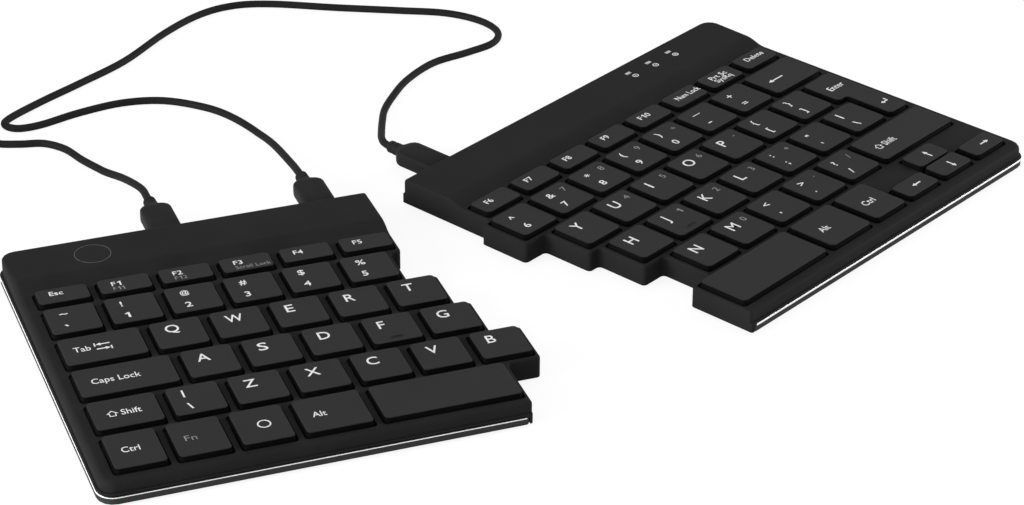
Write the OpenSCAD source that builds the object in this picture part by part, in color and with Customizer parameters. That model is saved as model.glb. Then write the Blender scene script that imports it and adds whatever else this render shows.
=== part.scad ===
// Split keyboard: two stepped halves, a link cord between them and a lead that ends in a plug.
// Each half is drawn in its own frame: X along the rows, Y away from the user, Z up from the desk.
// Both halves share one column grid. place(half) turns a half out and sets it beside the other.
// All sizes are in millimetres.

/* [Keys] */
// Spacing of the letter keys along a row
key_pitch = 19; // [18.6:0.1:19.4]
// Spacing of the letter rows
row_pitch = 18.65; // [18:0.05:20]
// Depth of the space bar row
space_row_depth = 21.2; // [20.5:0.1:23]
// Spacing of the function keys
fn_pitch = 19.65; // [19.6:0.05:20]
// Depth of the function row
fn_row_depth = 11.8; // [11.4:0.1:13]
// Width of the right half's grid in letter keys
right_cols = 14.44; // [14.2:0.02:15]
// Width of each space bar in letter keys
space_u = 2.42; // [2.2:0.02:2.6]
// Width of each Alt key in letter keys
alt_u = 1.25; // [1.2:0.05:1.3]
// Gap between two key tops along a row
key_gap_x = 3.4; // [2.8:0.1:3.6]
// Gap between two key tops across the rows
key_gap_y = 3.3; // [3:0.1:3.8]
// Gap between the two half-height arrow keys
arrow_gap = 1; // [0.9:0.1:1.6]
// Height of the key tops above the deck
key_rise = 1.6; // [1.2:0.1:2]
// Depth of the key skirts below the deck
key_sink = 0.5; // [0.3:0.1:0.7]
// Travel of a key
key_travel = 1.8; // [1.4:0.1:1.8]
// Spread of a key cap from its top to its skirt, each side
key_flare = 0.35; // [0.2:0.05:0.4]
// Thickness of a key cap's top and walls
cap_t = 1; // [0.8:0.1:1.1]
// Gap between a key skirt and its window
window_gap = 0.45; // [0.35:0.05:0.5]

/* [Case] */
// Height of the case from its underside to the deck
case_h = 7.6; // [7.4:0.1:9]
// Thickness of the deck
deck_t = 1.3; // [1:0.1:1.4]
// Outer margin beside the keys
outer_margin = 4.3; // [3.6:0.1:6]
// Margin on the stepped inner side
inner_margin = 0.2; // [0.1:0.05:0.3]
// Front margin at the outer corner
front_outer = 2.7; // [2.2:0.1:4]
// Front margin at the inner corner
front_inner = 2.3; // [1.6:0.1:3]
// Margin in front of the keys at the outer end, right half
right_front_outer = 4.4; // [3:0.1:5]
// Margin in front of the keys at the inner end, right half
right_front_inner = 3.2; // [2:0.1:4]
// Depth of the rear bar behind the function row
hump_depth = 25.7; // [24:0.1:32]
// Height of the rear bar above the deck
hump_h = 1.8; // [0.8:0.1:3]
// Fall of the rear bar towards its rear edge
hump_fall = 0.3; // [0.2:0.1:0.6]
// Overhang of the base beyond the top case
base_lip = 0.8; // [0.4:0.1:1]
// Radius of the rounded top edge along the outer side and the front
edge_r = 2.2; // [1.2:0.1:2.4]
// Radius of the top edge along the steps and the rear
step_edge_r = 1; // [0.6:0.1:1.1]
// Radius of the outer corners seen from above
corner_r = 5.5; // [4.5:0.5:9]
// Radius of the steps seen from above
step_r = 1.4; // [1:0.1:1.6]
// Thickness of the outer walls
wall = 1.6; // [1.4:0.1:1.8]
// Thickness of the stepped inner wall
inner_wall = 1; // [0.8:0.1:1.1]
// Thickness of the base floor
floor_t = 1.2; // [1.1:0.1:1.4]
// Height of the base rim
rim_h = 2.7; // [2.5:0.1:2.9]
// Height of the silver trim strip
trim_h = 0.9; // [0.7:0.1:1]
// Depth of the silver trim strip
trim_d = 1; // [0.8:0.1:1.1]
// Height of the rubber feet
foot_h = 0.8; // [0.6:0.1:1.5]
// Radius of the rubber feet
foot_r = 5; // [3:0.5:5.5]

/* [Placing] */
// Angle by which each half is turned out
splay = 14.4; // [8:0.2:16]
// Gap between the rear inner corners of the halves
rear_gap = 14.5; // [14:0.1:30]
// Distance by which the left half stands further from the user
rear_step = 0; // [0:0.05:1]

/* [Cords] */
// Diameter of both cords
cord_d = 2.6; // [2.4:0.1:2.8]
// Distance of the lead's plug from the outer edge of the left half's keys
host_x = 51.6; // [40:0.2:60]
// Distance of the link plug from the inner rear corner, left half
link_in_left = 14.6; // [12:0.2:20]
// Distance of the link plug from the inner rear corner, right half
link_in_right = 19.8; // [14:0.2:30]
// Width of a small plug
plug_w = 10.6; // [10.2:0.2:12]
// Thickness of a small plug
plug_t = 6; // [5:0.2:6.4]
// Length of a small plug behind the case
plug_l = 18; // [15:0.5:22]
// Length of a plug's strain relief
nub_l = 6; // [4:0.5:7]
// Loops in each of the coil's two layers
coil_loops = 6; // [6:1:6]
// Mean coil diameter in cord diameters
coil_ratio = 12; // [11.8:0.1:12]

/* [Hidden] */

// Colours
black = [0.13, 0.13, 0.14];
key_black = [0.19, 0.19, 0.20];
dark = [0.09, 0.09, 0.10];
silver = [0.80, 0.81, 0.82];
steel = [0.62, 0.63, 0.65];
green = [0.06, 0.30, 0.16];
clear = [0.75, 0.78, 0.80];
rubber = [0.12, 0.12, 0.12];

// Heights, from the desk upwards
deck_z = foot_h + case_h;
floor_z = foot_h + floor_t;
seam_z = foot_h + rim_h;
roof_z = deck_z - deck_t;
key_z0 = deck_z - key_sink;
key_h = key_rise + key_sink;
under_z = key_z0 + key_h - cap_t;
mech_h = 3.7;
sheet_z = under_z - mech_h;
membrane_t = 0.3;
plate_t = 0.5;
plate_z = sheet_z - membrane_t - plate_t;
skirt_z = foot_h + 0.3;
trim_z = seam_z - trim_h / 2;
flange_d = 0.05;
flange_z = trim_z + trim_h + 0.5;

// Clearances
gap = 0.15;
fit = 0.05;
plate_gap = 0.4;

// Grid: a half is 0 for left and 1 for right
side = [1, -1];
rows_split = [7.25, 6.75, 6.5, 6];
fn_left = 6;
fn_right = 8;
letters = 5;
outer_x = [0, right_cols * key_pitch];
arrows_u = 3;
space_end = [
  letters - 2 + alt_u + space_u,
  right_cols - arrows_u - 1 - alt_u - space_u];
fn_end = [fn_left * fn_pitch, outer_x[1] - fn_right * fn_pitch];
function row_y(i) =
  i == 0 ? 0 : i <= 5 ? space_row_depth + (i - 1) * row_pitch : row_y(5) + fn_row_depth;
function inner_x(h, i) =
  i == 0 ? space_end[h] * key_pitch : i == 5 ? fn_end[h] : rows_split[i - 1] * key_pitch;
keys_rear = row_y(6);
case_rear = keys_rear + hump_depth;

// Rounded outlines: each corner is [x, y, radius]
arc_n = 4;
function unit(v) = v / norm(v);
function turn_by(a, b) = (b - a + 540) % 360 - 180;
function corner_arc(p0, p, p1, r, n) =
  let (u = unit(p0 - p), v = unit(p1 - p), half_a = acos(u * v) / 2)
  let (t = min(r / tan(half_a), 0.45 * min(norm(p0 - p), norm(p1 - p))), q = t * tan(half_a))
  let (c = p + unit(u + v) * q / sin(half_a), s = p + u * t - c, e = p + v * t - c)
  let (a0 = atan2(s[1], s[0]), da = turn_by(a0, atan2(e[1], e[0])))
  [for (i = [0:n]) c + q * [cos(a0 + da * i / n), sin(a0 + da * i / n)]];
function flat(c) = [c[0], c[1]];
function arc_at(c, i, n) =
  let (k = len(c))
  corner_arc(flat(c[(i + k - 1) % k]), flat(c[i]), flat(c[(i + 1) % k]), c[i][2], n);
function joined(lists) = [for (l = lists) for (p = l) p];
function box_corners(w, d, r) =
  [[-w / 2, -d / 2, r], [w / 2, -d / 2, r], [w / 2, d / 2, r], [-w / 2, d / 2, r]];
function rounded(w, d, r, n = 4) =
  let (c = box_corners(w, d, r)) joined([for (i = [0:3]) arc_at(c, i, n)]);

fronts = [[front_outer, front_inner], [right_front_outer, right_front_inner]];
// Outline of a half: inset by d on the outer, front and rear sides and by e on the stepped side
function edge_x(h, d) = outer_x[h] - side[h] * (outer_margin - d);
function step_x(h, i, e) = inner_x(h, i) + side[h] * (inner_margin - e);
function grows(h, i) = side[h] * (inner_x(h, i) - inner_x(h, i - 1)) > 0;
function step_y(h, i, e) = row_y(i) + (grows(h, i) ? -1 : 1) * (inner_margin - e);
function bulge(r, e) = max(r - e, 0.3);
function step_corners(h, e) = joined([for (i = [1:5])
  let (g = grows(h, i), y = step_y(h, i, e))
  [[step_x(h, i - 1, e), y, g ? step_r + e : bulge(step_r, e)],
   [step_x(h, i, e), y, g ? bulge(step_r, e) : step_r + e]]]);
function half_corners(h, d, e, rear) = concat(
  [[edge_x(h, d), d - fronts[h][0], bulge(corner_r, d)],
   [step_x(h, 0, e), d - fronts[h][1], 0.8]],
  step_corners(h, e),
  [[step_x(h, 5, e), rear - d, 0.8], [edge_x(h, d), rear - d, bulge(corner_r, d)]]);
outline_rear = case_rear + base_lip;
function outline(h, d, e, rear = outline_rear) =
  let (c = half_corners(h, d, e, rear))
  joined([for (i = [0:len(c) - 1]) arc_at(c, i, arc_n)]);

// Placing: the rear inner corners stand rear_gap apart and the whole is centred
function rot2(p, a) = [p[0] * cos(a) - p[1] * sin(a), p[0] * sin(a) + p[1] * cos(a)];
pivot = [for (h = [0, 1]) [step_x(h, 5, 0), outline_rear]];
function shift(h) = side[h] * [-rear_gap, rear_step] / 2;
function loose(h, p) = rot2(p - pivot[h], -side[h] * splay) + shift(h);
all_pts = joined([for (h = [0, 1]) [for (p = outline(h, 0, 0)) loose(h, p)]]);
function mid(v) = (min(v) + max(v)) / 2;
centre = [mid([for (p = all_pts) p[0]]), mid([for (p = all_pts) p[1]])];
function desk(h, x, y) = loose(h, [x, y]) - centre;

module place(h) {
  translate([shift(h)[0] - centre[0], shift(h)[1] - centre[1], 0])
    rotate(-side[h] * splay)
      translate([-pivot[h][0], -pivot[h][1], 0])
        children();
}

// Rear bar: smooth rise behind the function keys, then a slight fall to the rear
hump_y0 = keys_rear - (key_gap_y / 2 - key_flare - window_gap) + 0.2;
hump_y1 = hump_y0 + 7.8;
hump_n = 6;
function ease(t) = t * t * (3 - 2 * t);
function hump_z(y) = deck_z + (y <= hump_y0 ? 0
  : y < hump_y1 ? hump_h * ease((y - hump_y0) / (hump_y1 - hump_y0))
  : hump_h - hump_fall * (y - hump_y1) / (case_rear - hump_y1));
hump_tilt = -atan(hump_fall / (case_rear - hump_y1));
hump_steps = [for (k = [0:hump_n]) hump_y0 + (hump_y1 - hump_y0) * k / hump_n];

// Shells of a half: rings of its outline joined by faces. The outer side of each ring has points
// level with the steps and with the middle of each row, so that every row closes as a fan.
shell_n = 4;
arc_m = arc_n + 1;
function row_mid(h, i, e) = i == 5 ? mid([step_y(h, 5, e), hump_y0])
  : i == 0 ? mid([corner_r, step_y(h, 1, e)]) : mid([step_y(h, i, e), step_y(h, i + 1, e)]);
function outer_ys(h, e) = concat(
  [for (j = [0:hump_n]) hump_steps[hump_n - j]],
  joined([for (i = [5:-1:1]) [row_mid(h, i, e), step_y(h, i, e)]]),
  [row_mid(h, 0, e)]);
function half_ring(h, d, e) =
  let (c = half_corners(h, d, e, outline_rear), k = len(c))
  concat(
    joined([for (i = [0:k - 3]) arc_at(c, i, arc_n)]),
    [for (y = hump_steps) [step_x(h, 5, e), y]],
    arc_at(c, k - 2, arc_n),
    arc_at(c, k - 1, arc_n),
    [for (y = outer_ys(h, e)) [edge_x(h, d), y]]);
in0 = 12 * arc_m;
out0 = in0 + hump_n + 1 + 2 * arc_m;
function mid_id(i) = out0 + hump_n + 1 + 2 * (5 - i);
function split_id(h, i) = 2 * i * arc_m + arc_n + (grows(h, i) ? 0 : 1);
function span_ids(a, b) = [for (i = [a:b]) i];
function cap_faces(h) = concat(
  [concat([mid_id(0)], span_ids(0, split_id(h, 1)), [mid_id(1) + 1])],
  [for (i = [1:4]) concat([mid_id(i), mid_id(i) + 1],
    span_ids(split_id(h, i), split_id(h, i + 1)), [mid_id(i + 1) + 1])],
  [concat([mid_id(5), mid_id(5) + 1], span_ids(split_id(h, 5), in0), [out0 + hump_n])],
  [for (j = [0:hump_n - 1])
    [in0 + j, in0 + j + 1, out0 + hump_n - j - 1, out0 + hump_n - j]],
  [span_ids(in0 + hump_n, out0)]);
function flip(f) = concat([f[0]], [for (i = [len(f) - 1:-1:1]) f[i]]);
function band_faces(m, levels) = joined([for (j = [0:levels - 2]) joined([for (i = [0:m - 1])
  let (a = j * m + i, b = j * m + (i + 1) % m)
  [[a, a + m, b], [b, a + m, b + m]]])]);

module shell(h, rings) {
  m = len(rings[0]);
  last = m * (len(rings) - 1);
  up = [for (f = cap_faces(h)) flip([for (i = f) last + i])];
  faces = concat(up, cap_faces(h), band_faces(m, len(rings)));
  polyhedron(joined(rings), h == 0 ? faces : [for (f = faces) flip(f)], convexity = 8);
}

// Points of the outer side and the front take the large edge radius, the others the small one
function is_outer(i) = i < arc_m || i >= out0;
function eased_ring(h, a) =
  let (far = half_ring(h, base_lip + edge_r * (1 - cos(a)), step_edge_r * (1 - cos(a))))
  let (near = half_ring(h, base_lip + step_edge_r * (1 - cos(a)), step_edge_r * (1 - cos(a))))
  [for (i = [0:len(far) - 1])
    let (p = is_outer(i) ? far[i] : near[i])
    [p[0], p[1], hump_z(p[1]) - (is_outer(i) ? edge_r : step_edge_r) * (1 - sin(a))]];
function level_ring(h, d, z) = [for (p = half_ring(h, d, 0)) [p[0], p[1], z]];

module top_shell(h) {
  shell(h, concat(
    [level_ring(h, flange_d, skirt_z),
     level_ring(h, flange_d, flange_z - 0.3),
     level_ring(h, flange_d + 0.25, flange_z - 0.05),
     level_ring(h, base_lip, flange_z)],
    [for (k = [0:shell_n]) eased_ring(h, 90 * k / shell_n)]));
}

module base_shell(h) {
  insets = [0.3, 0.1, 0, 0];
  heights = [foot_h, foot_h + 0.2, foot_h + 0.7, seam_z];
  e0 = inner_wall + gap;
  shell(h, [for (k = [0:3]) [for (p = half_ring(h, insets[k], e0 + insets[k]))
    [p[0], p[1], heights[k]]]]);
}

// Key tops as [x, y, width, depth]
function key_at(row, a, b) = [
  a * key_pitch + key_gap_x / 2,
  row_y(row) + key_gap_y / 2,
  (b - a) * key_pitch - key_gap_x,
  row_y(row + 1) - row_y(row) - key_gap_y];
function keys_from(row, a, n) = [for (k = [0:n - 1]) key_at(row, a + k, a + k + 1)];
function fn_keys(x, n) = [for (k = [0:n - 1])
  [x + k * fn_pitch + key_gap_x / 2, row_y(5) + key_gap_y / 2,
   fn_pitch - key_gap_x, fn_row_depth - key_gap_y]];
half_d = (space_row_depth - key_gap_y - arrow_gap) / 2;
function arrow_at(u, up) =
  let (k = key_at(0, right_cols - u, right_cols - u + 1))
  [k[0], k[1] + up * (half_d + arrow_gap), k[2], half_d];

left_function = fn_keys(0, fn_left);
left_number = keys_from(4, 0, rows_split[3]);
left_upper = keys_from(3, rows_split[2] - letters, letters);
left_middle = keys_from(2, rows_split[1] - letters, letters);
left_lower = keys_from(1, rows_split[0] - letters - 1, letters + 1);
tab_top = key_at(3, 0, rows_split[2] - letters);
caps_top = key_at(2, 0, rows_split[1] - letters);
left_shift_top = key_at(1, 0, rows_split[0] - letters - 1);
left_ctrl_top = key_at(0, 0, 1);
fn_top = key_at(0, 1, 2);
system_top = key_at(0, 2, 3);
left_alt_top = key_at(0, 3, 3 + alt_u);
left_space_top = key_at(0, 3 + alt_u, space_end[0]);
right_function = fn_keys(fn_end[1], fn_right);
right_number = keys_from(4, rows_split[3], letters + 2);
right_upper = keys_from(3, rows_split[2], letters + 2);
right_middle = keys_from(2, rows_split[1], letters + 2);
right_lower = keys_from(1, rows_split[0], letters);
backspace_top = key_at(4, rows_split[3] + letters + 2, right_cols);
enter_upper = key_at(3, rows_split[2] + letters + 2, right_cols);
enter_row = key_at(2, rows_split[1] + letters + 2, right_cols);
enter_tall = [enter_row[0], enter_row[1], enter_row[2], enter_row[3] + row_pitch];
right_shift_top = key_at(1, rows_split[0] + letters, right_cols);
right_space_top = key_at(0, space_end[1], space_end[1] + space_u);
right_alt_top = key_at(0, space_end[1] + space_u, space_end[1] + space_u + alt_u);
right_ctrl_top = key_at(0, right_cols - arrows_u - 1, right_cols - arrows_u);
left_arrow_top = arrow_at(3, 0);
down_arrow_top = arrow_at(2, 0);
up_arrow_top = arrow_at(2, 1);
right_arrow_top = arrow_at(1, 0);
tops = [
  concat(left_function, left_number, left_upper, left_middle, left_lower,
    [tab_top, caps_top, left_shift_top, left_ctrl_top, fn_top, system_top, left_alt_top,
     left_space_top]),
  concat(right_function, right_number, right_upper, right_middle, right_lower,
    [backspace_top, enter_tall, right_shift_top, right_space_top, right_alt_top, right_ctrl_top,
     left_arrow_top, down_arrow_top, up_arrow_top, right_arrow_top])];
function top_mid(t) = [t[0] + t[2] / 2, t[1] + t[3] / 2];

// Rear bar fittings
screw_y = keys_rear + 5;
function screw_xs(h) = [
  edge_x(h, 0) + side[h] * 20,
  (edge_x(h, 0) + step_x(h, 5, 0)) / 2,
  step_x(h, 5, 0) - side[h] * 8];
screw_r = 0.9;
head_r = 1.8;
head_h = 0.6;
boss_r = 2.6;
foot_sink = 0.4;
function foot_spots(h) = [
  [edge_x(h, 0) + side[h] * 14, 11],
  [step_x(h, 0, 0) - side[h] * 13, 11],
  [edge_x(h, 0) + side[h] * 14, case_rear - 9],
  [step_x(h, 5, 0) - side[h] * 14, case_rear - 9]];
plug_z = seam_z + 1.9;
socket_w = 8.9;
socket_t = 3.2;
socket_l = 7.3;
shell_t = 0.3;
socket_wall = 0.3;
plug_xs = [
  [host_x, step_x(0, 5, 0) - link_in_left],
  [step_x(1, 5, 0) + link_in_right]];
board_t = 1;
board_z = plug_z - socket_t / 2;
board_y = [keys_rear + 8.6, case_rear - wall - 0.4];
lights_x = [for (k = [0:2]) outer_x[1] - 49 + 11.05 * k];
light_y = case_rear - 6.2;
light_w = 2.5;
light_d = 1.3;
disc_c = [24.4, case_rear - 10.5];
disc_r = 5.8;
disc_t = 1;

module prism(pts, z0, z1) {
  translate([0, 0, z0])
    linear_extrude(z1 - z0)
      polygon(pts);
}

module stadium(w, t, y0, y1) {
  translate([0, y1, 0])
    rotate([90, 0, 0])
      linear_extrude(y1 - y0)
        polygon(rounded(w, t, t / 2 - 0.01, 5));
}

// Case pieces
module top_case(h) {
  difference() {
    union() {
      difference() {
        top_shell(h);
        prism(outline(h, -5, inner_wall), 0, seam_z);
        prism(outline(h, base_lip + wall, inner_wall), seam_z - 0.5, roof_z);
      }
      for (x = screw_xs(h))
        translate([x, screw_y, floor_z + fit])
          cylinder(r = boss_r, h = roof_z + 0.3 - floor_z - fit, $fn = 48);
    }
    for (t = tops[h])
      translate([top_mid(t)[0], top_mid(t)[1], 0])
        prism(rounded(t[2] + 2 * (key_flare + window_gap), t[3] + 2 * (key_flare + window_gap), 1.2),
          roof_z - 1, deck_z + 1);
    if (h == 1)
      translate([top_mid(enter_upper)[0], top_mid(enter_upper)[1], 0])
        prism(rounded(enter_upper[2] + 2 * (key_flare + window_gap),
          enter_upper[3] + 2 * (key_flare + window_gap), 1.2), roof_z - 1, deck_z + 1);
    trim_band(h, -1, trim_d, seam_z - 1, trim_z + trim_h, 0);
    for (x = screw_xs(h))
      translate([x, screw_y, floor_z - 1])
        cylinder(r = screw_r, h = roof_z - floor_z, $fn = 32);
    for (x = plug_xs[h])
      translate([x, 0, plug_z])
        stadium(socket_w + 2 * gap, socket_t + 2 * gap, case_rear - wall - 1, case_rear + 1);
    if (h == 0)
      disc_body(0);
    else
      for (x = lights_x)
        translate([x - light_w / 2 - fit, light_y - light_d / 2 - fit, roof_z - 1])
          cube([light_w + 2 * fit, light_d + 2 * fit, 8]);
  }
}

module base(h) {
  e0 = inner_wall + gap;
  difference() {
    union() {
      difference() {
        base_shell(h);
        prism(outline(h, wall, e0 + inner_wall), floor_z, seam_z + 1);
      }
      for (i = [1:5])
        rib(h, i);
      for (x = board_posts(h))
        translate([x, mid(board_y), floor_z - 0.5])
          cylinder(r = 2, h = board_z - board_t - floor_z + 0.5, $fn = 32);
    }
    trim_band(h, -1, trim_d, trim_z, seam_z + 1, 0);
    for (p = foot_spots(h))
      translate([p[0], p[1], 0])
        cylinder(r = foot_r + gap, h = foot_h + foot_sink, $fn = 48);
    for (x = screw_xs(h))
      translate([x, screw_y, 0]) {
        cylinder(r = head_r + gap, h = foot_h + head_h, $fn = 48);
        cylinder(r = screw_r + gap, h = 10, $fn = 32);
      }
  }
}

// Rib of the base under a row boundary, carrying the key plate
module rib(h, i) {
  xs = [edge_x(h, wall + 1), inner_x(h, i) - side[h] * 3, inner_x(h, i - 1) - side[h] * 3];
  far = h == 0 ? min(xs[1], xs[2]) : max(xs[1], xs[2]);
  translate([min(xs[0], far), row_y(i) - 0.6, floor_z - 0.5])
    cube([abs(far - xs[0]), 1.2, plate_z - floor_z + 0.5]);
}

function board_span(h) = h == 0
  ? [edge_x(0, wall + 6), step_x(0, 5, inner_wall + 1.5)]
  : [step_x(1, 5, inner_wall + 1.5), edge_x(1, wall + 6)];
function board_posts(h) =
  let (b = board_span(h)) [b[0] + 6, (b[0] + b[1]) / 2 - 4, b[1] - 28];

// Trim path: rear outer corner, along the outer side, front corner, and along the front
function trim_path(h, d, back) =
  let (c = half_corners(h, d, d, outline_rear), k = len(c), f = flat(c[0]), g = flat(c[1]))
  let (r = arc_at(c, k - 1, 8))
  concat([r[0] + [side[h] * (1.5 - back), 0]], r, arc_at(c, 0, 8), [g + unit(f - g) * (2 + back)]);

module trim_band(h, d0, d1, z0, z1, back) {
  a = trim_path(h, d0, back);
  b = trim_path(h, d1, back);
  prism(concat(a, [for (i = [len(b) - 1:-1:0]) b[i]]), z0, z1);
}

module key_plate(h) {
  d = base_lip + wall + plate_gap;
  e = inner_wall + plate_gap;
  prism(outline(h, d, e, keys_rear + d - 1), plate_z, plate_z + plate_t);
}

// Tail of the membrane: it passes beside the middle screw to its connector on the board
tail_w = 16;
function tail_x(h) = mid(board_span(h)) + 8;

module membrane(h) {
  d = base_lip + wall + plate_gap + 0.6;
  e = inner_wall + plate_gap + 0.6;
  union() {
    prism(outline(h, d, e, keys_rear + d - 1.6), plate_z + plate_t, sheet_z);
    translate([tail_x(h), keys_rear - 4, plate_z + plate_t])
      cube([tail_w, board_y[0] + 3 - keys_rear + 4, membrane_t]);
  }
}

module circuit_board(h) {
  b = board_span(h);
  w = b[1] - b[0];
  translate([b[0], board_y[0], board_z - board_t])
    cube([w, board_y[1] - board_y[0], board_t]);
  translate([tail_x(h) - 1, board_y[0], board_z])
    cube([tail_w + 2, 3, plate_z + plate_t - board_z]);
  translate([mid(b) - 20, board_y[0] + 6, board_z])
    cube([7, 7, 0.9]);
}

// Narrow keys have small domes and levers, turned along the row under half-height keys
function is_flat(t) = t[3] < 12;
function is_small(t) = min(t[2], t[3]) < 12;

module dome(t) {
  s = is_small(t) ? [2.4, 1.05, 0.8] : [4, 3, 2];
  h = mech_h - fit;
  translate([top_mid(t)[0], top_mid(t)[1], sheet_z])
    rotate_extrude($fn = 24)
      polygon([[s[1] - 0.4, 0], [s[0], 0], [s[0], 0.35], [s[1], 0.35], [s[2], h - 0.8], [s[2], h],
        [0, h], [0, h - 0.9], [s[2] - 0.4, h - 0.9]]);
}

lever_l = 10;
lever_gap = 0.05;

module lever(w, bar, dir) {
  a = asin((mech_h - 2 * lever_gap - bar) / lever_l);
  rotate([dir * a, 0, 0])
    difference() {
      cube([w, lever_l, bar], center = true);
      cube([w - 2 * bar, lever_l - 2 * bar, bar + 1], center = true);
    }
}

module levers(t) {
  bar = is_small(t) ? 0.6 : 0.8;
  w = is_small(t) ? 5.2 : 11;
  translate([top_mid(t)[0], top_mid(t)[1], sheet_z + mech_h / 2])
    rotate(is_flat(t) ? 90 : 0) {
      lever(w, bar, 1);
      lever(w - 2 * bar - 0.4, bar, -1);
    }
}

// Wire that keeps a wide key level
module stabiliser(t) {
  x = t[2] / 2 - 4;
  y = 5.8;
  z = under_z - 0.6;
  drop = z - sheet_z - 0.6;
  r = 0.45;
  back = 4;
  translate([top_mid(t)[0], top_mid(t)[1] + t[3] / 2 - 7.6, 0])
    union() {
      translate([-x - r, y, z])
        rotate([0, 90, 0])
          cylinder(r = r, h = 2 * x + 2 * r, $fn = 24);
      for (s = [-1, 1]) {
        translate([s * x, y, z])
          rotate([90 + atan(drop / back), 0, 0])
            cylinder(r = r, h = norm([drop, back]), $fn = 24);
      }
    }
}

module receptacle(x) {
  y1 = case_rear - 0.3;
  translate([x, 0, plug_z]) {
    difference() {
      stadium(socket_w, socket_t, y1 - socket_l, y1);
      stadium(socket_w - 2 * socket_wall, socket_t - 2 * socket_wall, y1 - socket_l + 0.6, y1 + 1);
    }
    translate([-3.2, y1 - socket_l + 0.3, -0.35])
      cube([6.4, 4.6, 0.7]);
  }
}

module disc_body(less) {
  translate([disc_c[0], disc_c[1], hump_z(disc_c[1])])
    rotate([hump_tilt, 0, 0])
      translate([0, 0, -disc_t])
        cylinder(r = disc_r - less, h = less > 0 ? disc_t : disc_t + 2, $fn = 72);
}

// Key caps
module cap_body(t) {
  w = t[2];
  d = t[3];
  f = key_flare;
  c = 0.3;
  translate([top_mid(t)[0], top_mid(t)[1], key_z0])
    intersection() {
      rotate([90, 0, 0])
        linear_extrude(d + 4, center = true)
          polygon([[-w / 2 - f, 0], [w / 2 + f, 0], [w / 2, key_h - c], [w / 2 - c, key_h],
            [c - w / 2, key_h], [-w / 2, key_h - c]]);
      rotate([90, 0, 90])
        linear_extrude(w + 4, center = true)
          polygon([[-d / 2 - f, 0], [d / 2 + f, 0], [d / 2, key_h - c], [d / 2 - c, key_h],
            [c - d / 2, key_h], [-d / 2, key_h - c]]);
      linear_extrude(key_h)
        polygon(rounded(w + 2 * f, d + 2 * f, 1.8));
    }
}

module cap_hollow(t) {
  translate([t[0] + cap_t, t[1] + cap_t, key_z0 - 1])
    cube([t[2] - 2 * cap_t, t[3] - 2 * cap_t, key_h - cap_t + 1]);
}

module caps(h, list) {
  color(key_black)
    place(h)
      for (t = list)
        difference() {
          cap_body(t);
          cap_hollow(t);
        }
}

// Small bar on a key top that the finger finds without looking
module home_bar(h, t) {
  color(key_black)
    place(h)
      translate([top_mid(t)[0] - 2, t[1] + 2.2, key_z0 + key_h - 0.3])
        cube([4, 0.6, 0.55]);
}

// Plugs
nub_r = cord_d / 2 + 1;
plug_y0 = outline_rear + gap;
plug_y1 = plug_y0 + plug_l;
cord_y = plug_y1 + nub_l;

module small_plug(h, x) {
  color(black)
    place(h)
      translate([x, 0, plug_z])
        union() {
          intersection() {
            translate([0, mid([plug_y0, plug_y1]), -plug_t / 2])
              linear_extrude(plug_t)
                polygon(rounded(plug_w, plug_l, 2.4, 6));
            stadium_block(plug_w, plug_t, plug_y0, plug_y1, 1.9);
          }
          translate([0, plug_y1 - 1, 0])
            rotate([-90, 0, 0])
              cylinder(r = nub_r, h = nub_l + 1, $fn = 48);
        }
}

module stadium_block(w, t, y0, y1, r) {
  translate([0, y1, 0])
    rotate([90, 0, 0])
      linear_extrude(y1 - y0)
        polygon(rounded(w, t, r, 6));
}

module tongue(x) {
  y1 = plug_y0;
  w = socket_w - 2 * socket_wall - 2 * gap;
  t = socket_t - 2 * socket_wall - 2 * gap;
  translate([x, 0, plug_z])
    difference() {
      stadium(w, t, y1 - 6, y1);
      stadium(w - 2 * shell_t, t - 2 * shell_t, y1 - 7, y1 - 0.6);
    }
}

// Cords: a tube of rings along smoothed route points, [x, y, z] on the desk
cord_r = cord_d / 2;
tube_n = 8;
function curve(p0, p1, p2, p3, t) = 0.5 * (2 * p1 + (p2 - p0) * t
  + (2 * p0 - 5 * p1 + 4 * p2 - p3) * t * t + (3 * p1 - p0 - 3 * p2 + p3) * t * t * t);
function smooth(p, m) =
  let (k = len(p) - 1)
  concat([for (i = [0:k - 1]) for (j = [0:m - 1])
    j == 0 ? p[i] : curve(p[max(i - 1, 0)], p[i], p[i + 1], p[min(i + 2, k)], j / m)], [p[k]]);
function tangent(p, i) = unit(p[min(i + 1, len(p) - 1)] - p[max(i - 1, 0)]);
function ring(p, i, n, r) =
  let (t = tangent(p, i), s = unit(cross([0, 0, 1], t)), u = cross(t, s))
  [for (k = [0:n - 1]) p[i] + r * (cos(360 * k / n) * s + sin(360 * k / n) * u)];
function on_desk(p) = [for (q = p) [q[0], q[1], max(q[2], lay)]];
function path_length(p) = let (d = [for (i = [1:len(p) - 1]) norm(p[i] - p[i - 1])])
  d * [for (x = d) 1];

module tube(p, n) {
  m = len(p);
  pts = joined([for (i = [0:m - 1]) ring(p, i, n, cord_r)]);
  first = [for (k = [0:n - 1]) k];
  last = [for (k = [0:n - 1]) m * n - 1 - k];
  walls = band_faces(n, m);
  polyhedron(pts, concat([first, last], [for (f = walls) f]), convexity = 10);
}

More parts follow.
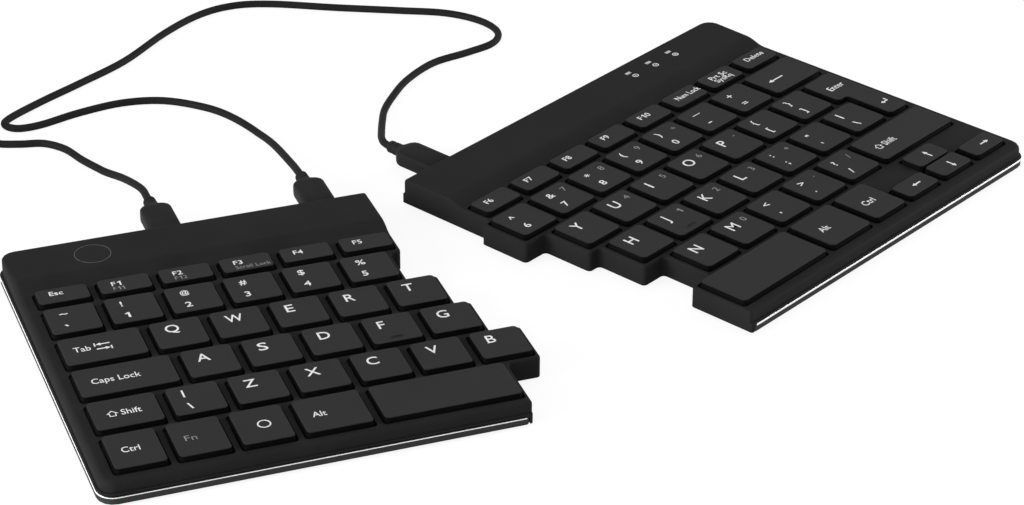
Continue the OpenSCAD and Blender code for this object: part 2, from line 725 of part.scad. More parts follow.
function end_at(h, x, y) = let (p = desk(h, x, y)) [p[0], p[1], plug_z];
function lifted(p, z) = [p[0], p[1], z];
lay = cord_r + 0.02;
link_route = concat(
  [end_at(0, plug_xs[0][1], cord_y),
   end_at(0, plug_xs[0][1], cord_y + cord_d),
   lifted(end_at(0, plug_xs[0][1], cord_y + 11), 4.4),
   [-28.4, 102.7, 2.6]],
  [for (q = [[-27.4, 115.3], [-29, 130.3], [-33.2, 141.8], [-42.6, 154], [-55.5, 160.5],
    [-71.4, 162.2], [-86.4, 161.6], [-94.5, 163.6], [-96.9, 168.4], [-92.9, 172], [-78.3, 177],
    [-60.3, 182], [-39.4, 188.5], [-16.4, 200.3], [1.5, 206.5], [15.5, 206.2], [28.2, 199.6],
    [45.9, 184.3], [63.6, 169.7], [77.5, 157.8], [84.5, 145.5], [84.8, 134.5], [78.3, 127.8],
    [66.4, 126.6], [51.6, 126.4], [36.7, 120.4], [25.3, 112.2]]) [q[0], q[1], lay]],
  [[17.7, 105.0, 1.6], [11.9, 96.9, 2.5], [6.9, 88.1, 3.7], [3.2, 80.9, 4.9],
   end_at(1, plug_xs[1][0], cord_y + cord_d),
   end_at(1, plug_xs[1][0], cord_y)]);

// Coil of the lead: two layers, spiralling in and out again, held by a tie
tie_t = 0.6;
tie_w = 5;
coil_pitch = cord_d + 0.45;
coil_c = [-135.2, 175.4];
coil_mid = coil_ratio * cord_d / 2;
coil_in = coil_mid - coil_pitch * coil_loops / 2;
coil_out = coil_in + coil_pitch * coil_loops;
coil_z0 = tie_t + fit + cord_r;
coil_z1 = coil_z0 + coil_pitch;
coil_dip = 0.34 * coil_pitch;
loop_n = 24;
function coil_at(t) =
  let (b = t - coil_loops)
  let (r = b <= 0 ? coil_out - coil_pitch * t
    : b < 0.5 ? coil_in - coil_dip * sin(360 * b) : coil_in + coil_pitch * (b - 0.5))
  let (z = b <= 0 ? coil_z0 : b < 0.5 ? coil_z0 + coil_pitch * ease(2 * b) : coil_z1)
  [coil_c[0] + r * cos(360 * t), coil_c[1] + r * sin(360 * t), z];
coil_turns = 2 * coil_loops + 0.5;
coil_steps = coil_turns * loop_n;
usb_z = 3.9;
usb_w = 12;
usb_l = 20;
usb_nub = 7;
tail_y = coil_c[1] - 16;
coil_path = concat(
  [coil_at(0) - [0, cord_d, 0]],
  [for (i = [0:coil_steps]) coil_at(i / loop_n)],
  [[coil_c[0] - coil_out, coil_c[1] - 5.5, coil_z1 - 0.3],
   [coil_c[0] - coil_out, tail_y + cord_d, usb_z],
   [coil_c[0] - coil_out, tail_y, usb_z]]);
function coil_gap() = min([for (i = [1:coil_steps]) for (j = [i + 14:1:coil_steps + 1])
  norm(coil_path[i] - coil_path[j])]) - cord_d;
host_route = concat(
  [end_at(0, host_x, cord_y),
   end_at(0, host_x, cord_y + cord_d),
   lifted(end_at(0, host_x, cord_y + 11), 4.4),
   [-82.2, 110.0, 2.6]],
  [for (q = [[-84.4, 120.5], [-86.6, 131.3], [-87.8, 141.3], [-91.9, 148.9], [-98.8, 152.9], [-105, 157.4],
    [-109.1, 164.2]]) [q[0], q[1], lay]],
  [[coil_c[0] + coil_out, coil_c[1] - 3 * cord_d, coil_z0 - 0.3],
   [coil_c[0] + coil_out, coil_c[1] - cord_d, coil_z0]]);

// Sub-parts, one module each
module left_top_case() {
  color(black) place(0) top_case(0);
}

module right_top_case() {
  color(black) place(1) top_case(1);
}

module left_base() {
  color(dark) place(0) base(0);
}

module right_base() {
  color(dark) place(1) base(1);
}

module left_trim_strip() {
  color(silver) place(0) trim_band(0, -0.1, trim_d - fit, trim_z, trim_z + trim_h, 0.1);
}

module right_trim_strip() {
  color(silver) place(1) trim_band(1, -0.1, trim_d - fit, trim_z, trim_z + trim_h, 0.1);
}

module left_key_plate() {
  color(steel) place(0) key_plate(0);
}

module right_key_plate() {
  color(steel) place(1) key_plate(1);
}

module left_membrane() {
  color(clear) place(0) membrane(0);
}

module right_membrane() {
  color(clear) place(1) membrane(1);
}

module left_rubber_domes() {
  color(rubber) place(0) for (t = tops[0]) dome(t);
}

module right_rubber_domes() {
  color(rubber) place(1) for (t = tops[1]) dome(t);
}

module left_scissor_levers() {
  color(dark) place(0) for (t = tops[0]) levers(t);
}

module right_scissor_levers() {
  color(dark) place(1) for (t = tops[1]) levers(t);
}

module left_controller_board() {
  color(green) place(0) circuit_board(0);
}

module right_link_board() {
  color(green) place(1) circuit_board(1);
}

module stabiliser_bars() {
  color(steel) {
    place(0) for (t = [tab_top, caps_top, left_space_top]) stabiliser(t);
    place(1) for (t = [backspace_top, right_shift_top, right_space_top]) stabiliser(t);
  }
}

module usb_sockets() {
  color(steel)
    for (h = [0, 1])
      place(h)
        for (x = plug_xs[h])
          receptacle(x);
}

module rubber_feet() {
  color(rubber)
    for (h = [0, 1])
      place(h)
        for (p = foot_spots(h))
          translate([p[0], p[1], 0])
            cylinder(r = foot_r, h = foot_h + foot_sink, $fn = 48);
}

module case_screws() {
  color(steel)
    for (h = [0, 1])
      place(h)
        for (x = screw_xs(h))
          translate([x, screw_y, foot_h + head_h])
            union() {
              translate([0, 0, fit - head_h])
                cylinder(r = head_r, h = head_h - fit, $fn = 48);
              translate([0, 0, -0.1])
                cylinder(r = screw_r - fit, h = 4.6, $fn = 32);
            }
}

module status_disc() {
  color(dark) place(0) disc_body(0.1);
}

module indicator_lights() {
  color(clear)
    place(1)
      for (x = lights_x)
        translate([x - light_w / 2, light_y - light_d / 2, board_z])
          cube([light_w, light_d, hump_z(light_y) - 0.02 - board_z]);
}

module left_function_keys() {
  caps(0, left_function);
}

module left_number_keys() {
  caps(0, left_number);
}

module left_upper_letters() {
  caps(0, left_upper);
}

module left_middle_letters() {
  caps(0, left_middle);
  home_bar(0, left_middle[3]);
}

module left_lower_letters() {
  caps(0, left_lower);
}

module tab_key() {
  caps(0, [tab_top]);
}

module caps_lock_key() {
  caps(0, [caps_top]);
}

module left_shift_key() {
  caps(0, [left_shift_top]);
}

module left_ctrl_key() {
  caps(0, [left_ctrl_top]);
}

module fn_key() {
  caps(0, [fn_top]);
}

module system_key() {
  caps(0, [system_top]);
}

module left_alt_key() {
  caps(0, [left_alt_top]);
}

module left_space_bar() {
  caps(0, [left_space_top]);
}

module right_function_keys() {
  caps(1, right_function);
}

module right_number_keys() {
  caps(1, right_number);
}

module right_upper_letters() {
  caps(1, right_upper);
}

module right_middle_letters() {
  caps(1, right_middle);
  home_bar(1, right_middle[1]);
}

module right_lower_letters() {
  caps(1, right_lower);
}

module backspace_key() {
  caps(1, [backspace_top]);
}

// Enter spans two rows and is wider in the upper one
module enter_key() {
  color(key_black)
    place(1)
      difference() {
        union() {
          cap_body(enter_tall);
          cap_body(enter_upper);
        }
        cap_hollow(enter_tall);
        cap_hollow(enter_upper);
      }
}

module right_shift_key() {
  caps(1, [right_shift_top]);
}

module right_space_bar() {
  caps(1, [right_space_top]);
}

module right_alt_key() {
  caps(1, [right_alt_top]);
}

module right_ctrl_key() {
  caps(1, [right_ctrl_top]);
}

module left_arrow_key() {
  caps(1, [left_arrow_top]);
}

module down_arrow_key() {
  caps(1, [down_arrow_top]);
}

module up_arrow_key() {
  caps(1, [up_arrow_top]);
}

module right_arrow_key() {
  caps(1, [right_arrow_top]);
}

module link_cord() {
  p = on_desk(smooth(link_route, 2));
  echo(link_cord_length = path_length(p), rings = len(p));
  color(rubber) tube(p, tube_n);
}

module link_plug_left() {
  small_plug(0, plug_xs[0][1]);
}

module link_plug_right() {
  small_plug(1, plug_xs[1][0]);
}

module host_cord() {
  p = on_desk(smooth(host_route, 1));
  echo(host_cord_length = path_length(p), rings = len(p));
  color(rubber) tube(p, tube_n);
}

module host_coil() {
  echo(coil_length = path_length(coil_path), least_gap = coil_gap());
  color(rubber) tube(coil_path, 6);
}

module host_plug() {
  small_plug(0, host_x);
}

module plug_shells() {
  color(steel)
    for (h = [0, 1])
      place(h)
        for (x = plug_xs[h])
          tongue(x);
}

module usb_plug() {
  color(black)
    translate([coil_c[0] - coil_out, tail_y - usb_nub - usb_l / 2, usb_z])
      union() {
        translate([0, 0, 0])
          intersection() {
            translate([0, 0, -usb_z])
              linear_extrude(2 * usb_z)
                polygon(rounded(usb_w + 3.4, usb_l, 2.2, 6));
            stadium_block(usb_w + 3.4, 2 * usb_z, -usb_l / 2, usb_l / 2, 1.8);
          }
        translate([0, usb_l / 2 - 1, 0])
          rotate([-90, 0, 0])
            cylinder(r = nub_r, h = usb_nub + 1, $fn = 48);
      }
}

module usb_plug_shell() {
  color(silver)
    translate([coil_c[0] - coil_out - usb_w / 2, tail_y - usb_nub - usb_l - 12, usb_z - 2.25])
      difference() {
        cube([usb_w, 12, 4.5]);
        translate([0.3, -1, 0.3])
          cube([usb_w - 0.6, 12, 1.8]);
      }
}

module cord_tie() {
  r0 = coil_in + 0.25 * coil_pitch - cord_r - 0.9;
  r1 = coil_out - 0.75 * coil_pitch + cord_r + 0.3;
  z1 = coil_z1 + cord_r + 0.25;
  color(dark)
    translate([coil_c[0] - tie_w / 2, coil_c[1] - r1 - tie_t, 0])
      difference() {
        cube([tie_w, r1 - r0 + 2 * tie_t, z1 + tie_t]);
        translate([-1, tie_t, tie_t])
          cube([tie_w + 2, r1 - r0, z1 - tie_t]);
      }
}

left_top_case();
left_base();
left_trim_strip();
left_key_plate();
left_membrane();
left_rubber_domes();
left_scissor_levers();
left_controller_board();
right_top_case();
right_base();
right_trim_strip();
right_key_plate();
right_membrane();
right_rubber_domes();
right_scissor_levers();
right_link_board();
stabiliser_bars();
usb_sockets();
rubber_feet();
case_screws();
status_disc();
indicator_lights();
left_function_keys();
left_number_keys();
left_upper_letters();
left_middle_letters();
left_lower_letters();
tab_key();
caps_lock_key();
left_shift_key();
left_ctrl_key();
fn_key();
system_key();
left_alt_key();
left_space_bar();
right_function_keys();
right_number_keys();
right_upper_letters();
right_middle_letters();
right_lower_letters();
backspace_key();
enter_key();
right_shift_key();
right_space_bar();
right_alt_key();
right_ctrl_key();
left_arrow_key();
down_arrow_key();
up_arrow_key();
right_arrow_key();
link_cord();
link_plug_left();
link_plug_right();
host_cord();
host_coil();
host_plug();
plug_shells();
usb_plug();
usb_plug_shell();
cord_tie();
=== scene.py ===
import math

import bmesh
import bpy
from mathutils import Matrix, Vector


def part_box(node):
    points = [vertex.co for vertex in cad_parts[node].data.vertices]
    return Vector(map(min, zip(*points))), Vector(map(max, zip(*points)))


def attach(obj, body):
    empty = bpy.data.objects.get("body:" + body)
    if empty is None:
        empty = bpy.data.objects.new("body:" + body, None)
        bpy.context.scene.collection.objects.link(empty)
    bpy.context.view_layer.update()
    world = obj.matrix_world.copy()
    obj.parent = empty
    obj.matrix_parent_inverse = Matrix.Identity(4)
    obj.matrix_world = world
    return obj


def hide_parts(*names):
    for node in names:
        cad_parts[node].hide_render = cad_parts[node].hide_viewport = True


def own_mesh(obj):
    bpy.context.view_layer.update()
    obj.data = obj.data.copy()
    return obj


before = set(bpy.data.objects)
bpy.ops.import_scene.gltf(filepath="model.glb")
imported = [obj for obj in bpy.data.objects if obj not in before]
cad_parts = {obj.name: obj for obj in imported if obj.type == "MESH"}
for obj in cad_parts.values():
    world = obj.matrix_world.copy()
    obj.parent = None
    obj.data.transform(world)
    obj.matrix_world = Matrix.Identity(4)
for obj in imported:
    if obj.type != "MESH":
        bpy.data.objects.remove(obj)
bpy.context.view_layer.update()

# Camera: it stands in front of the keyboard, to the left, and looks down through a long lens.
# Its place, turn and lens come from a fit to the rows of keys and the corners of the case.
MM = 0.001
scene = bpy.context.scene
scene.view_settings.view_transform = "Standard"
eye = Vector((-520.459, -756.771, 534.893)) * MM
turn, tilt, roll = (math.radians(a) for a in (-34.494, 30.177, 0.427))
back = Vector((math.sin(turn) * math.cos(tilt), -math.cos(turn) * math.cos(tilt), math.sin(tilt)))
level = Vector((0, 0, 1)).cross(back).normalized()
above = back.cross(level)
right = level * math.cos(roll) + above * math.sin(roll)
up = above * math.cos(roll) - level * math.sin(roll)
lens = bpy.data.cameras.new("camera")
lens.sensor_width = 36
lens.lens = 115.92
lens.clip_start = 0.01
camera = bpy.data.objects.new("camera", lens)
camera.matrix_world = Matrix.Translation(eye) @ Matrix((right, up, back)).transposed().to_4x4()
scene.collection.objects.link(camera)
scene.camera = camera

# Desk and light: a plain white surface under soft studio light. What the camera and reflections
# see of the room is white, and the desk keeps a faint shadow of the keyboard.
SEEN = ("Is Camera Ray", "Is Glossy Ray", "Is Transmission Ray")


def seen_ray(tree):
    path = tree.nodes.new("ShaderNodeLightPath")
    total = path.outputs[SEEN[0]]
    for name in SEEN[1:]:
        join = tree.nodes.new("ShaderNodeMath")
        join.operation = "MAXIMUM"
        tree.links.new(total, join.inputs[0])
        tree.links.new(path.outputs[name], join.inputs[1])
        total = join.outputs[0]
    return total


def scaled(tree, value, factor, offset=0.0):
    node = tree.nodes.new("ShaderNodeMath")
    node.operation = "MULTIPLY_ADD"
    tree.links.new(value, node.inputs[0])
    node.inputs[1].default_value = factor
    node.inputs[2].default_value = offset
    return node.outputs[0]


DESK_HALF, DESK_GLOW, ROOM_LIGHT = 4.0, 0.88, 0.55
desk_mesh = bpy.data.meshes.new("desk")
desk_corners = [(x * DESK_HALF, y * DESK_HALF, 0) for x, y in ((-1, -1), (1, -1), (1, 1), (-1, 1))]
desk_mesh.from_pydata(desk_corners, [], [(0, 1, 2, 3)])
desk = bpy.data.objects.new("desk", desk_mesh)
scene.collection.objects.link(desk)
desk_white = bpy.data.materials.new("desk_white")
desk_white.use_nodes = True
tree = desk_white.node_tree
tree.nodes.clear()
paper = tree.nodes.new("ShaderNodeBsdfDiffuse")
paper.inputs["Color"].default_value = (0.92, 0.92, 0.92, 1)
glow = tree.nodes.new("ShaderNodeEmission")
blend = tree.nodes.new("ShaderNodeMixShader")
out = tree.nodes.new("ShaderNodeOutputMaterial")
tree.links.new(scaled(tree, seen_ray(tree), DESK_GLOW), blend.inputs[0])
tree.links.new(paper.outputs[0], blend.inputs[1])
tree.links.new(glow.outputs[0], blend.inputs[2])
tree.links.new(blend.outputs[0], out.inputs[0])
desk_mesh.materials.append(desk_white)

room = bpy.data.worlds.new("room")
room.use_nodes = True
scene.world = room
sky = room.node_tree.nodes["Background"]
sky.inputs["Color"].default_value = (1, 1, 1, 1)
room_seen = scaled(room.node_tree, seen_ray(room.node_tree), 1 - ROOM_LIGHT, ROOM_LIGHT)
room.node_tree.links.new(room_seen, sky.inputs["Strength"])

for name, spot, watts, width in (("softbox_left", (-1.1, -0.5, 1.1), 5.0, 0.9),
                                 ("softbox_top", (0.3, 0.5, 1.6), 5.0, 1.2),
                                 ("low_left", (-1.3, 0.1, 0.35), 30.0, 0.7),
                                 ("low_right", (1.3, -0.42, 0.25), 28.0, 0.7)):
    lamp = bpy.data.lights.new(name, "AREA")
    lamp.energy = watts
    lamp.size = width
    lamp_object = bpy.data.objects.new(name, lamp)
    lamp_object.location = spot
    lamp_object.rotation_euler = (-Vector(spot)).to_track_quat("-Z", "Y").to_euler()
    scene.collection.objects.link(lamp_object)

# Sheath of the cords: soft black plastic drawn over the wires, with the faint grain and the uneven
# gloss of moulded plastic. The grain group also serves the case, the keys and the plugs.
FINE_SHARE = 0.45
grain_group = bpy.data.node_groups.new("moulded_grain", "ShaderNodeTree")
for label, kind in (("Place", "NodeSocketVector"), ("Grain", "NodeSocketFloat"),
                    ("Cloud", "NodeSocketFloat")):
    grain_group.interface.new_socket(label, in_out="INPUT", socket_type=kind)
for label in ("Height", "Shade", "Gloss"):
    grain_group.interface.new_socket(label, in_out="OUTPUT", socket_type="NodeSocketFloat")
enter = grain_group.nodes.new("NodeGroupInput")
leave = grain_group.nodes.new("NodeGroupOutput")
fine = grain_group.nodes.new("ShaderNodeTexNoise")
fine.inputs["Detail"].default_value = 2
broad = grain_group.nodes.new("ShaderNodeTexNoise")
broad.inputs["Detail"].default_value = 4
spread = grain_group.nodes.new("ShaderNodeMapRange")
spread.inputs["From Min"].default_value = 0.32
spread.inputs["From Max"].default_value = 0.68
mixed = grain_group.nodes.new("ShaderNodeMath")
mixed.operation = "MULTIPLY_ADD"
mixed.inputs[1].default_value = FINE_SHARE
link = grain_group.links.new
link(enter.outputs["Place"], fine.inputs["Vector"])
link(enter.outputs["Grain"], fine.inputs["Scale"])
link(enter.outputs["Place"], broad.inputs["Vector"])
link(enter.outputs["Cloud"], broad.inputs["Scale"])
link(broad.outputs["Fac"], spread.inputs["Value"])
link(fine.outputs["Fac"], leave.inputs["Height"])
link(spread.outputs["Result"], leave.inputs["Shade"])
link(fine.outputs["Fac"], mixed.inputs[0])
link(scaled(grain_group, spread.outputs["Result"], 1 - FINE_SHARE), mixed.inputs[2])
link(mixed.outputs[0], leave.inputs["Gloss"])


def moulded(name, low, high, rough, level, grain=2600, cloud=70, depth=0.02, metal=0.0):
    """Material of a moulded piece: two near tones, a range of roughness and a grain depth in mm."""
    finish = bpy.data.materials.new(name)
    finish.use_nodes = True
    tree = finish.node_tree
    shader = tree.nodes["Principled BSDF"]
    place = tree.nodes.new("ShaderNodeTexCoord")
    skin = tree.nodes.new("ShaderNodeGroup")
    skin.node_tree = grain_group
    skin.inputs["Grain"].default_value = grain
    skin.inputs["Cloud"].default_value = cloud
    tone = tree.nodes.new("ShaderNodeMix")
    tone.data_type = "RGBA"
    tone.inputs[6].default_value = (*low, 1)
    tone.inputs[7].default_value = (*high, 1)
    sheen = tree.nodes.new("ShaderNodeMapRange")
    sheen.inputs["To Min"].default_value, sheen.inputs["To Max"].default_value = rough
    bump = tree.nodes.new("ShaderNodeBump")
    bump.inputs["Distance"].default_value = depth * MM
    tree.links.new(place.outputs["Object"], skin.inputs["Place"])
    tree.links.new(skin.outputs["Shade"], tone.inputs["Factor"])
    tree.links.new(tone.outputs[2], shader.inputs["Base Color"])
    tree.links.new(skin.outputs["Gloss"], sheen.inputs["Value"])
    tree.links.new(sheen.outputs["Result"], shader.inputs["Roughness"])
    tree.links.new(skin.outputs["Height"], bump.inputs["Height"])
    tree.links.new(bump.outputs["Normal"], shader.inputs["Normal"])
    shader.inputs["Specular IOR Level"].default_value = level
    shader.inputs["Metallic"].default_value = metal
    return finish


def grey(value):
    return (value, value, value * 1.02)


sheath = moulded("cord_sheath", grey(0.0075), grey(0.0105), (0.5, 0.6), 0.03, grain=1800, cloud=60)

# Link cord: it leaves the left half, makes two loose bends on the desk behind the halves and goes
# into the right half. The photograph shows it from end to end.
CORD_D = 2.6
LAY = CORD_D / 2 + 0.02
PLUG_Z = 5.4
CORD_END = 158.25
STRAIGHT = 2.6
FALL_Y, FALL_Z = 11, 4.4
HALF_PLACE = {"left": ((-174.229, -52.9329), -14.4), "right": ((-91.9263, -111.39), 14.4)}


def half_matrix(half):
    (x, y), angle = HALF_PLACE[half]
    return Matrix.Translation((x, y, 0)) @ Matrix.Rotation(math.radians(angle), 4, "Z")


def on_half(half, x, y, z):
    return half_matrix(half) @ Vector((x, y, z))


def smooth_route(points, steps):
    """Points of a Catmull-Rom curve through the route, never below the desk."""
    points = [Vector(p) for p in points]
    last = len(points) - 1
    path = []
    for i in range(last):
        a, b, c, d = (points[max(i - 1, 0)], points[i], points[i + 1], points[min(i + 2, last)])
        for k in range(steps):
            t = k / steps
            path.append(0.5 * (2 * b + (c - a) * t + (2 * a - 5 * b + 4 * c - d) * t * t
                               + (3 * b - a - 3 * c + d) * t ** 3))
    path.append(points[last])
    return [Vector((p.x, p.y, max(p.z, LAY))) for p in path]


def cord_piece(name, path):
    """A round cord along a path in millimetres."""
    curve = bpy.data.curves.new(name, "CURVE")
    curve.dimensions = "3D"
    curve.bevel_depth = CORD_D / 2 * MM
    curve.bevel_resolution = 4
    curve.use_fill_caps = True
    spline = curve.splines.new("POLY")
    spline.points.add(len(path) - 1)
    for point, place in zip(spline.points, path):
        point.co = (*(place * MM), 1)
    spline.use_smooth = True
    curve.materials.append(sheath)
    piece = bpy.data.objects.new(name, curve)
    scene.collection.objects.link(piece)
    return piece


LINK_LEFT_X = 103.5
LINK_RIGHT_X = 136.76
link_on_desk = [(-27.4, 115.3), (-29, 130.3), (-33.2, 141.8), (-42.6, 154), (-55.5, 160.5), (-71.4, 162.2),
                (-86.4, 161.6), (-94.5, 163.6), (-96.9, 168.4), (-92.9, 172), (-78.3, 177), (-60.3, 182),
                (-39.4, 188.5), (-16.4, 200.3), (1.5, 206.5), (15.5, 206.2), (28.2, 199.6), (45.9, 184.3),
                (63.6, 169.7), (77.5, 157.8), (84.5, 145.5), (84.8, 134.5), (78.3, 127.8), (66.4, 126.6),
                (51.6, 126.4), (36.7, 120.4), (25.3, 112.2)]
link_route = [on_half("left", LINK_LEFT_X, CORD_END, PLUG_Z),
              on_half("left", LINK_LEFT_X, CORD_END + STRAIGHT, PLUG_Z),
              on_half("left", LINK_LEFT_X, CORD_END + FALL_Y, FALL_Z),
              (-28.4, 102.7, 2.6)]
link_route += [(x, y, LAY) for x, y in link_on_desk]
link_route += [(17.5, 105, 1.6), (11.4, 96.8, 2.5), (5.7, 88.3, 3.7), (2.7, 83.4, 4.7), (1.1, 79.7, 5.3),
               on_half("right", LINK_RIGHT_X, CORD_END + STRAIGHT / 2, PLUG_Z),
               on_half("right", LINK_RIGHT_X, CORD_END, PLUG_Z)]
link_path = smooth_route(link_route, steps=6)
link_cord = cord_piece("link_cord_sheath", link_path)

# Lead to the computer: it leaves the left half and runs out of the picture. The length that is
# not seen lies beside it in a coil of two layers, each wound a cord's width apart.
HOST_X = 51.6
COIL_X, COIL_Y = -135.2, 175.4
COIL_PITCH = CORD_D + 0.45
COIL_LOOPS = 6
COIL_R = 12 * CORD_D / 2
COIL_IN = COIL_R - COIL_PITCH * COIL_LOOPS / 2
COIL_OUT = COIL_IN + COIL_PITCH * COIL_LOOPS
COIL_TUCK = 0.34 * COIL_PITCH
TIE_T, TIE_GAP = 0.6, 0.05
COIL_Z0 = TIE_T + TIE_GAP + CORD_D / 2
COIL_Z1 = COIL_Z0 + COIL_PITCH
LOOP_STEPS = 36
TAIL_Y = COIL_Y - 16
USB_Z = 3.9


def coil_point(t):
    """A point of the coil after t turns: inwards, a rise of half a turn, then outwards on top."""
    b = t - COIL_LOOPS
    if b <= 0:
        r, z = COIL_OUT - COIL_PITCH * t, COIL_Z0
    elif b < 0.5:
        rise = 2 * b
        r = COIL_IN - COIL_TUCK * math.sin(2 * math.pi * b)
        z = COIL_Z0 + COIL_PITCH * rise * rise * (3 - 2 * rise)
    else:
        r, z = COIL_IN + COIL_PITCH * (b - 0.5), COIL_Z1
    a = 2 * math.pi * t
    return Vector((COIL_X + r * math.cos(a), COIL_Y + r * math.sin(a), z))


host_route = [on_half("left", HOST_X, CORD_END, PLUG_Z),
              on_half("left", HOST_X, CORD_END + STRAIGHT, PLUG_Z),
              on_half("left", HOST_X, CORD_END + FALL_Y, FALL_Z),
              (-82.2, 110, 2.6)]
host_route += [(x, y, LAY) for x, y in ((-84.4, 120.5), (-86.6, 131.3), (-87.8, 141.3), (-91.9, 148.9),
                                        (-98.8, 152.9), (-105, 157.4), (-109.1, 164.2))]
host_route += [(COIL_X + COIL_OUT, COIL_Y - 3 * CORD_D, COIL_Z0 - 0.3),
               (COIL_X + COIL_OUT, COIL_Y - CORD_D, COIL_Z0)]
coil_turns = 2 * COIL_LOOPS + 0.5
coil_path = [coil_point(i / LOOP_STEPS) for i in range(int(coil_turns * LOOP_STEPS) + 1)]
tail_route = [coil_path[-1], (COIL_X - COIL_OUT, COIL_Y - 5.5, COIL_Z1 - 0.3),
              (COIL_X - COIL_OUT, TAIL_Y + CORD_D, USB_Z), (COIL_X - COIL_OUT, TAIL_Y, USB_Z)]
lead_path = smooth_route(host_route, steps=5) + coil_path + smooth_route(tail_route, steps=4)[1:]
lead = cord_piece("lead_sheath", lead_path)

# Plugs of the cords: black bodies moulded over the metal shells, with rounded shoulders and a ribbed
# neck that keeps the cord from kinking. They push into the sockets in the rear walls.
PLUG_W, PLUG_T, PLUG_START, PLUG_LENGTH = 10.6, 6.0, 134.25, 18.0
PLUG_NECK = CORD_END - PLUG_START - PLUG_LENGTH
NECK_R = 2.3
NECK_RIBS = ((1.2, 0.05), (1.5, 0.3), (2.0, 0.3), (2.3, 0.08), (3.1, 0.1), (3.4, 0.35), (3.9, 0.35),
             (4.2, 0.14))
plug_plastic = moulded("plug_plastic", grey(0.0085), grey(0.0115), (0.5, 0.62), 0.03, grain=2200)


def new_piece(name, mesh, *materials):
    for material in materials:
        mesh.materials.append(material)
    piece = bpy.data.objects.new(name, mesh)
    scene.collection.objects.link(piece)
    return piece


def sharp_shaded(mesh, angle=42):
    mesh.shade_smooth()
    mesh.set_sharp_from_angle(angle=math.radians(angle))


def finished_mesh(name, form):
    mesh = bpy.data.meshes.new(name)
    form.to_mesh(mesh)
    form.free()
    return mesh


def wall(form, low, high):
    """Faces between two rings of equal length."""
    for i in range(len(low)):
        j = (i + 1) % len(low)
        form.faces.new((low[i], low[j], high[j], high[i]))


TO_METRES = Matrix.Scale(MM, 4)


def loft_mesh(name, rings, matrix):
    """A closed skin through rings of equal length, each a list of points in millimetres."""
    form = bmesh.new()
    rows = [[form.verts.new(p) for p in ring] for ring in rings]
    for low, high in zip(rows, rows[1:]):
        wall(form, low, high)
    form.faces.new(list(reversed(rows[0])))
    form.faces.new(rows[-1])
    bmesh.ops.recalc_face_normals(form, faces=form.faces)
    form.transform(TO_METRES @ matrix)
    mesh = finished_mesh(name, form)
    sharp_shaded(mesh)
    return mesh


def oval_ring(y, half_w, half_t, square, n=40):
    """A ring across Y, from a round (square 2) to a boxy (square 5) superellipse."""
    points = []
    for i in range(n):
        a = 2 * math.pi * i / n
        c, s = math.cos(a), math.sin(a)
        points.append((half_w * math.copysign(abs(c) ** (2 / square), c), y,
                       half_t * math.copysign(abs(s) ** (2 / square), s)))
    return points


def plug_rings(start, length, width, thick, neck):
    """Rings of a plug from its front to its cord: a boxy body, round shoulders and a ribbed neck."""
    w, t, end = width / 2, thick / 2, start + length
    body = [(start, w - 0.5, t - 0.5, 5), (start + 0.15, w - 0.2, t - 0.2, 5), (start + 0.5, w, t, 5),
            (start + 0.35 * length, w, t, 5), (end - 3.2, w, t, 5), (end - 2.0, w - 0.25, t - 0.08, 4.6),
            (end - 1.0, w - 0.9, t - 0.3, 4.2), (end - 0.35, w - 1.7, t - 0.55, 3.8),
            (end, w - 2.7, NECK_R + 0.1, 3), (end + 0.05, NECK_R, NECK_R, 2.2)]
    tip = ((neck - 0.6, 0.2), (neck - 0.15, 0.5), (neck, NECK_R - CORD_D / 2))
    grip = [(end + y, NECK_R - thinner, NECK_R - thinner, 2) for y, thinner in NECK_RIBS + tip]
    return [oval_ring(*row) for row in body + grip]


plugs = {}
for node, half, x in (("link_plug_left", "left", LINK_LEFT_X), ("link_plug_right", "right", LINK_RIGHT_X),
                      ("host_plug", "left", HOST_X)):
    rings = plug_rings(PLUG_START, PLUG_LENGTH, PLUG_W, PLUG_T, PLUG_NECK)
    mesh = loft_mesh(node, rings, half_matrix(half) @ Matrix.Translation((x, 0, PLUG_Z)))
    plugs[node] = new_piece(node + "_body", mesh, plug_plastic)
    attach(plugs[node], "halves")
    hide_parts(node)

# Computer's plug: a larger moulded body on the far end of the lead, with a folded metal shell.
# It lies on the desk beside the coil, and has the shoulders and the neck of the other plugs.
USB_W, USB_LENGTH, USB_NECK = 15.4, 20, 7
USB_START = TAIL_Y - USB_NECK - USB_LENGTH
usb_rings = plug_rings(USB_START, USB_LENGTH, USB_W, 2 * USB_Z, USB_NECK)
usb_mesh = loft_mesh("usb_plug", usb_rings, Matrix.Translation((COIL_X - COIL_OUT, 0, USB_Z)))
usb_body = new_piece("usb_plug_body", usb_mesh, plug_plastic)
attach(usb_body, "halves")
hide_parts("usb_plug")


def plated(name, low, high, rough, stretch=(60, 900, 900), depth=0.004, metal=1.0):
    """Plated metal with fine drawn lines along one way."""
    finish = moulded(name, low, high, rough, 0.5, grain=1.0, cloud=0.4, depth=depth, metal=metal)
    tree = finish.node_tree
    skin = next(n for n in tree.nodes if n.type == "GROUP")
    place = next(n for n in tree.nodes if n.type == "TEX_COORD")
    draw = tree.nodes.new("ShaderNodeMapping")
    draw.inputs["Scale"].default_value = stretch
    tree.links.new(place.outputs["Object"], draw.inputs["Vector"])
    tree.links.new(draw.outputs["Vector"], skin.inputs["Place"])
    return finish


def paint(node, material):
    mesh_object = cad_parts[node]
    mesh_object.data.materials.clear()
    mesh_object.data.materials.append(material)


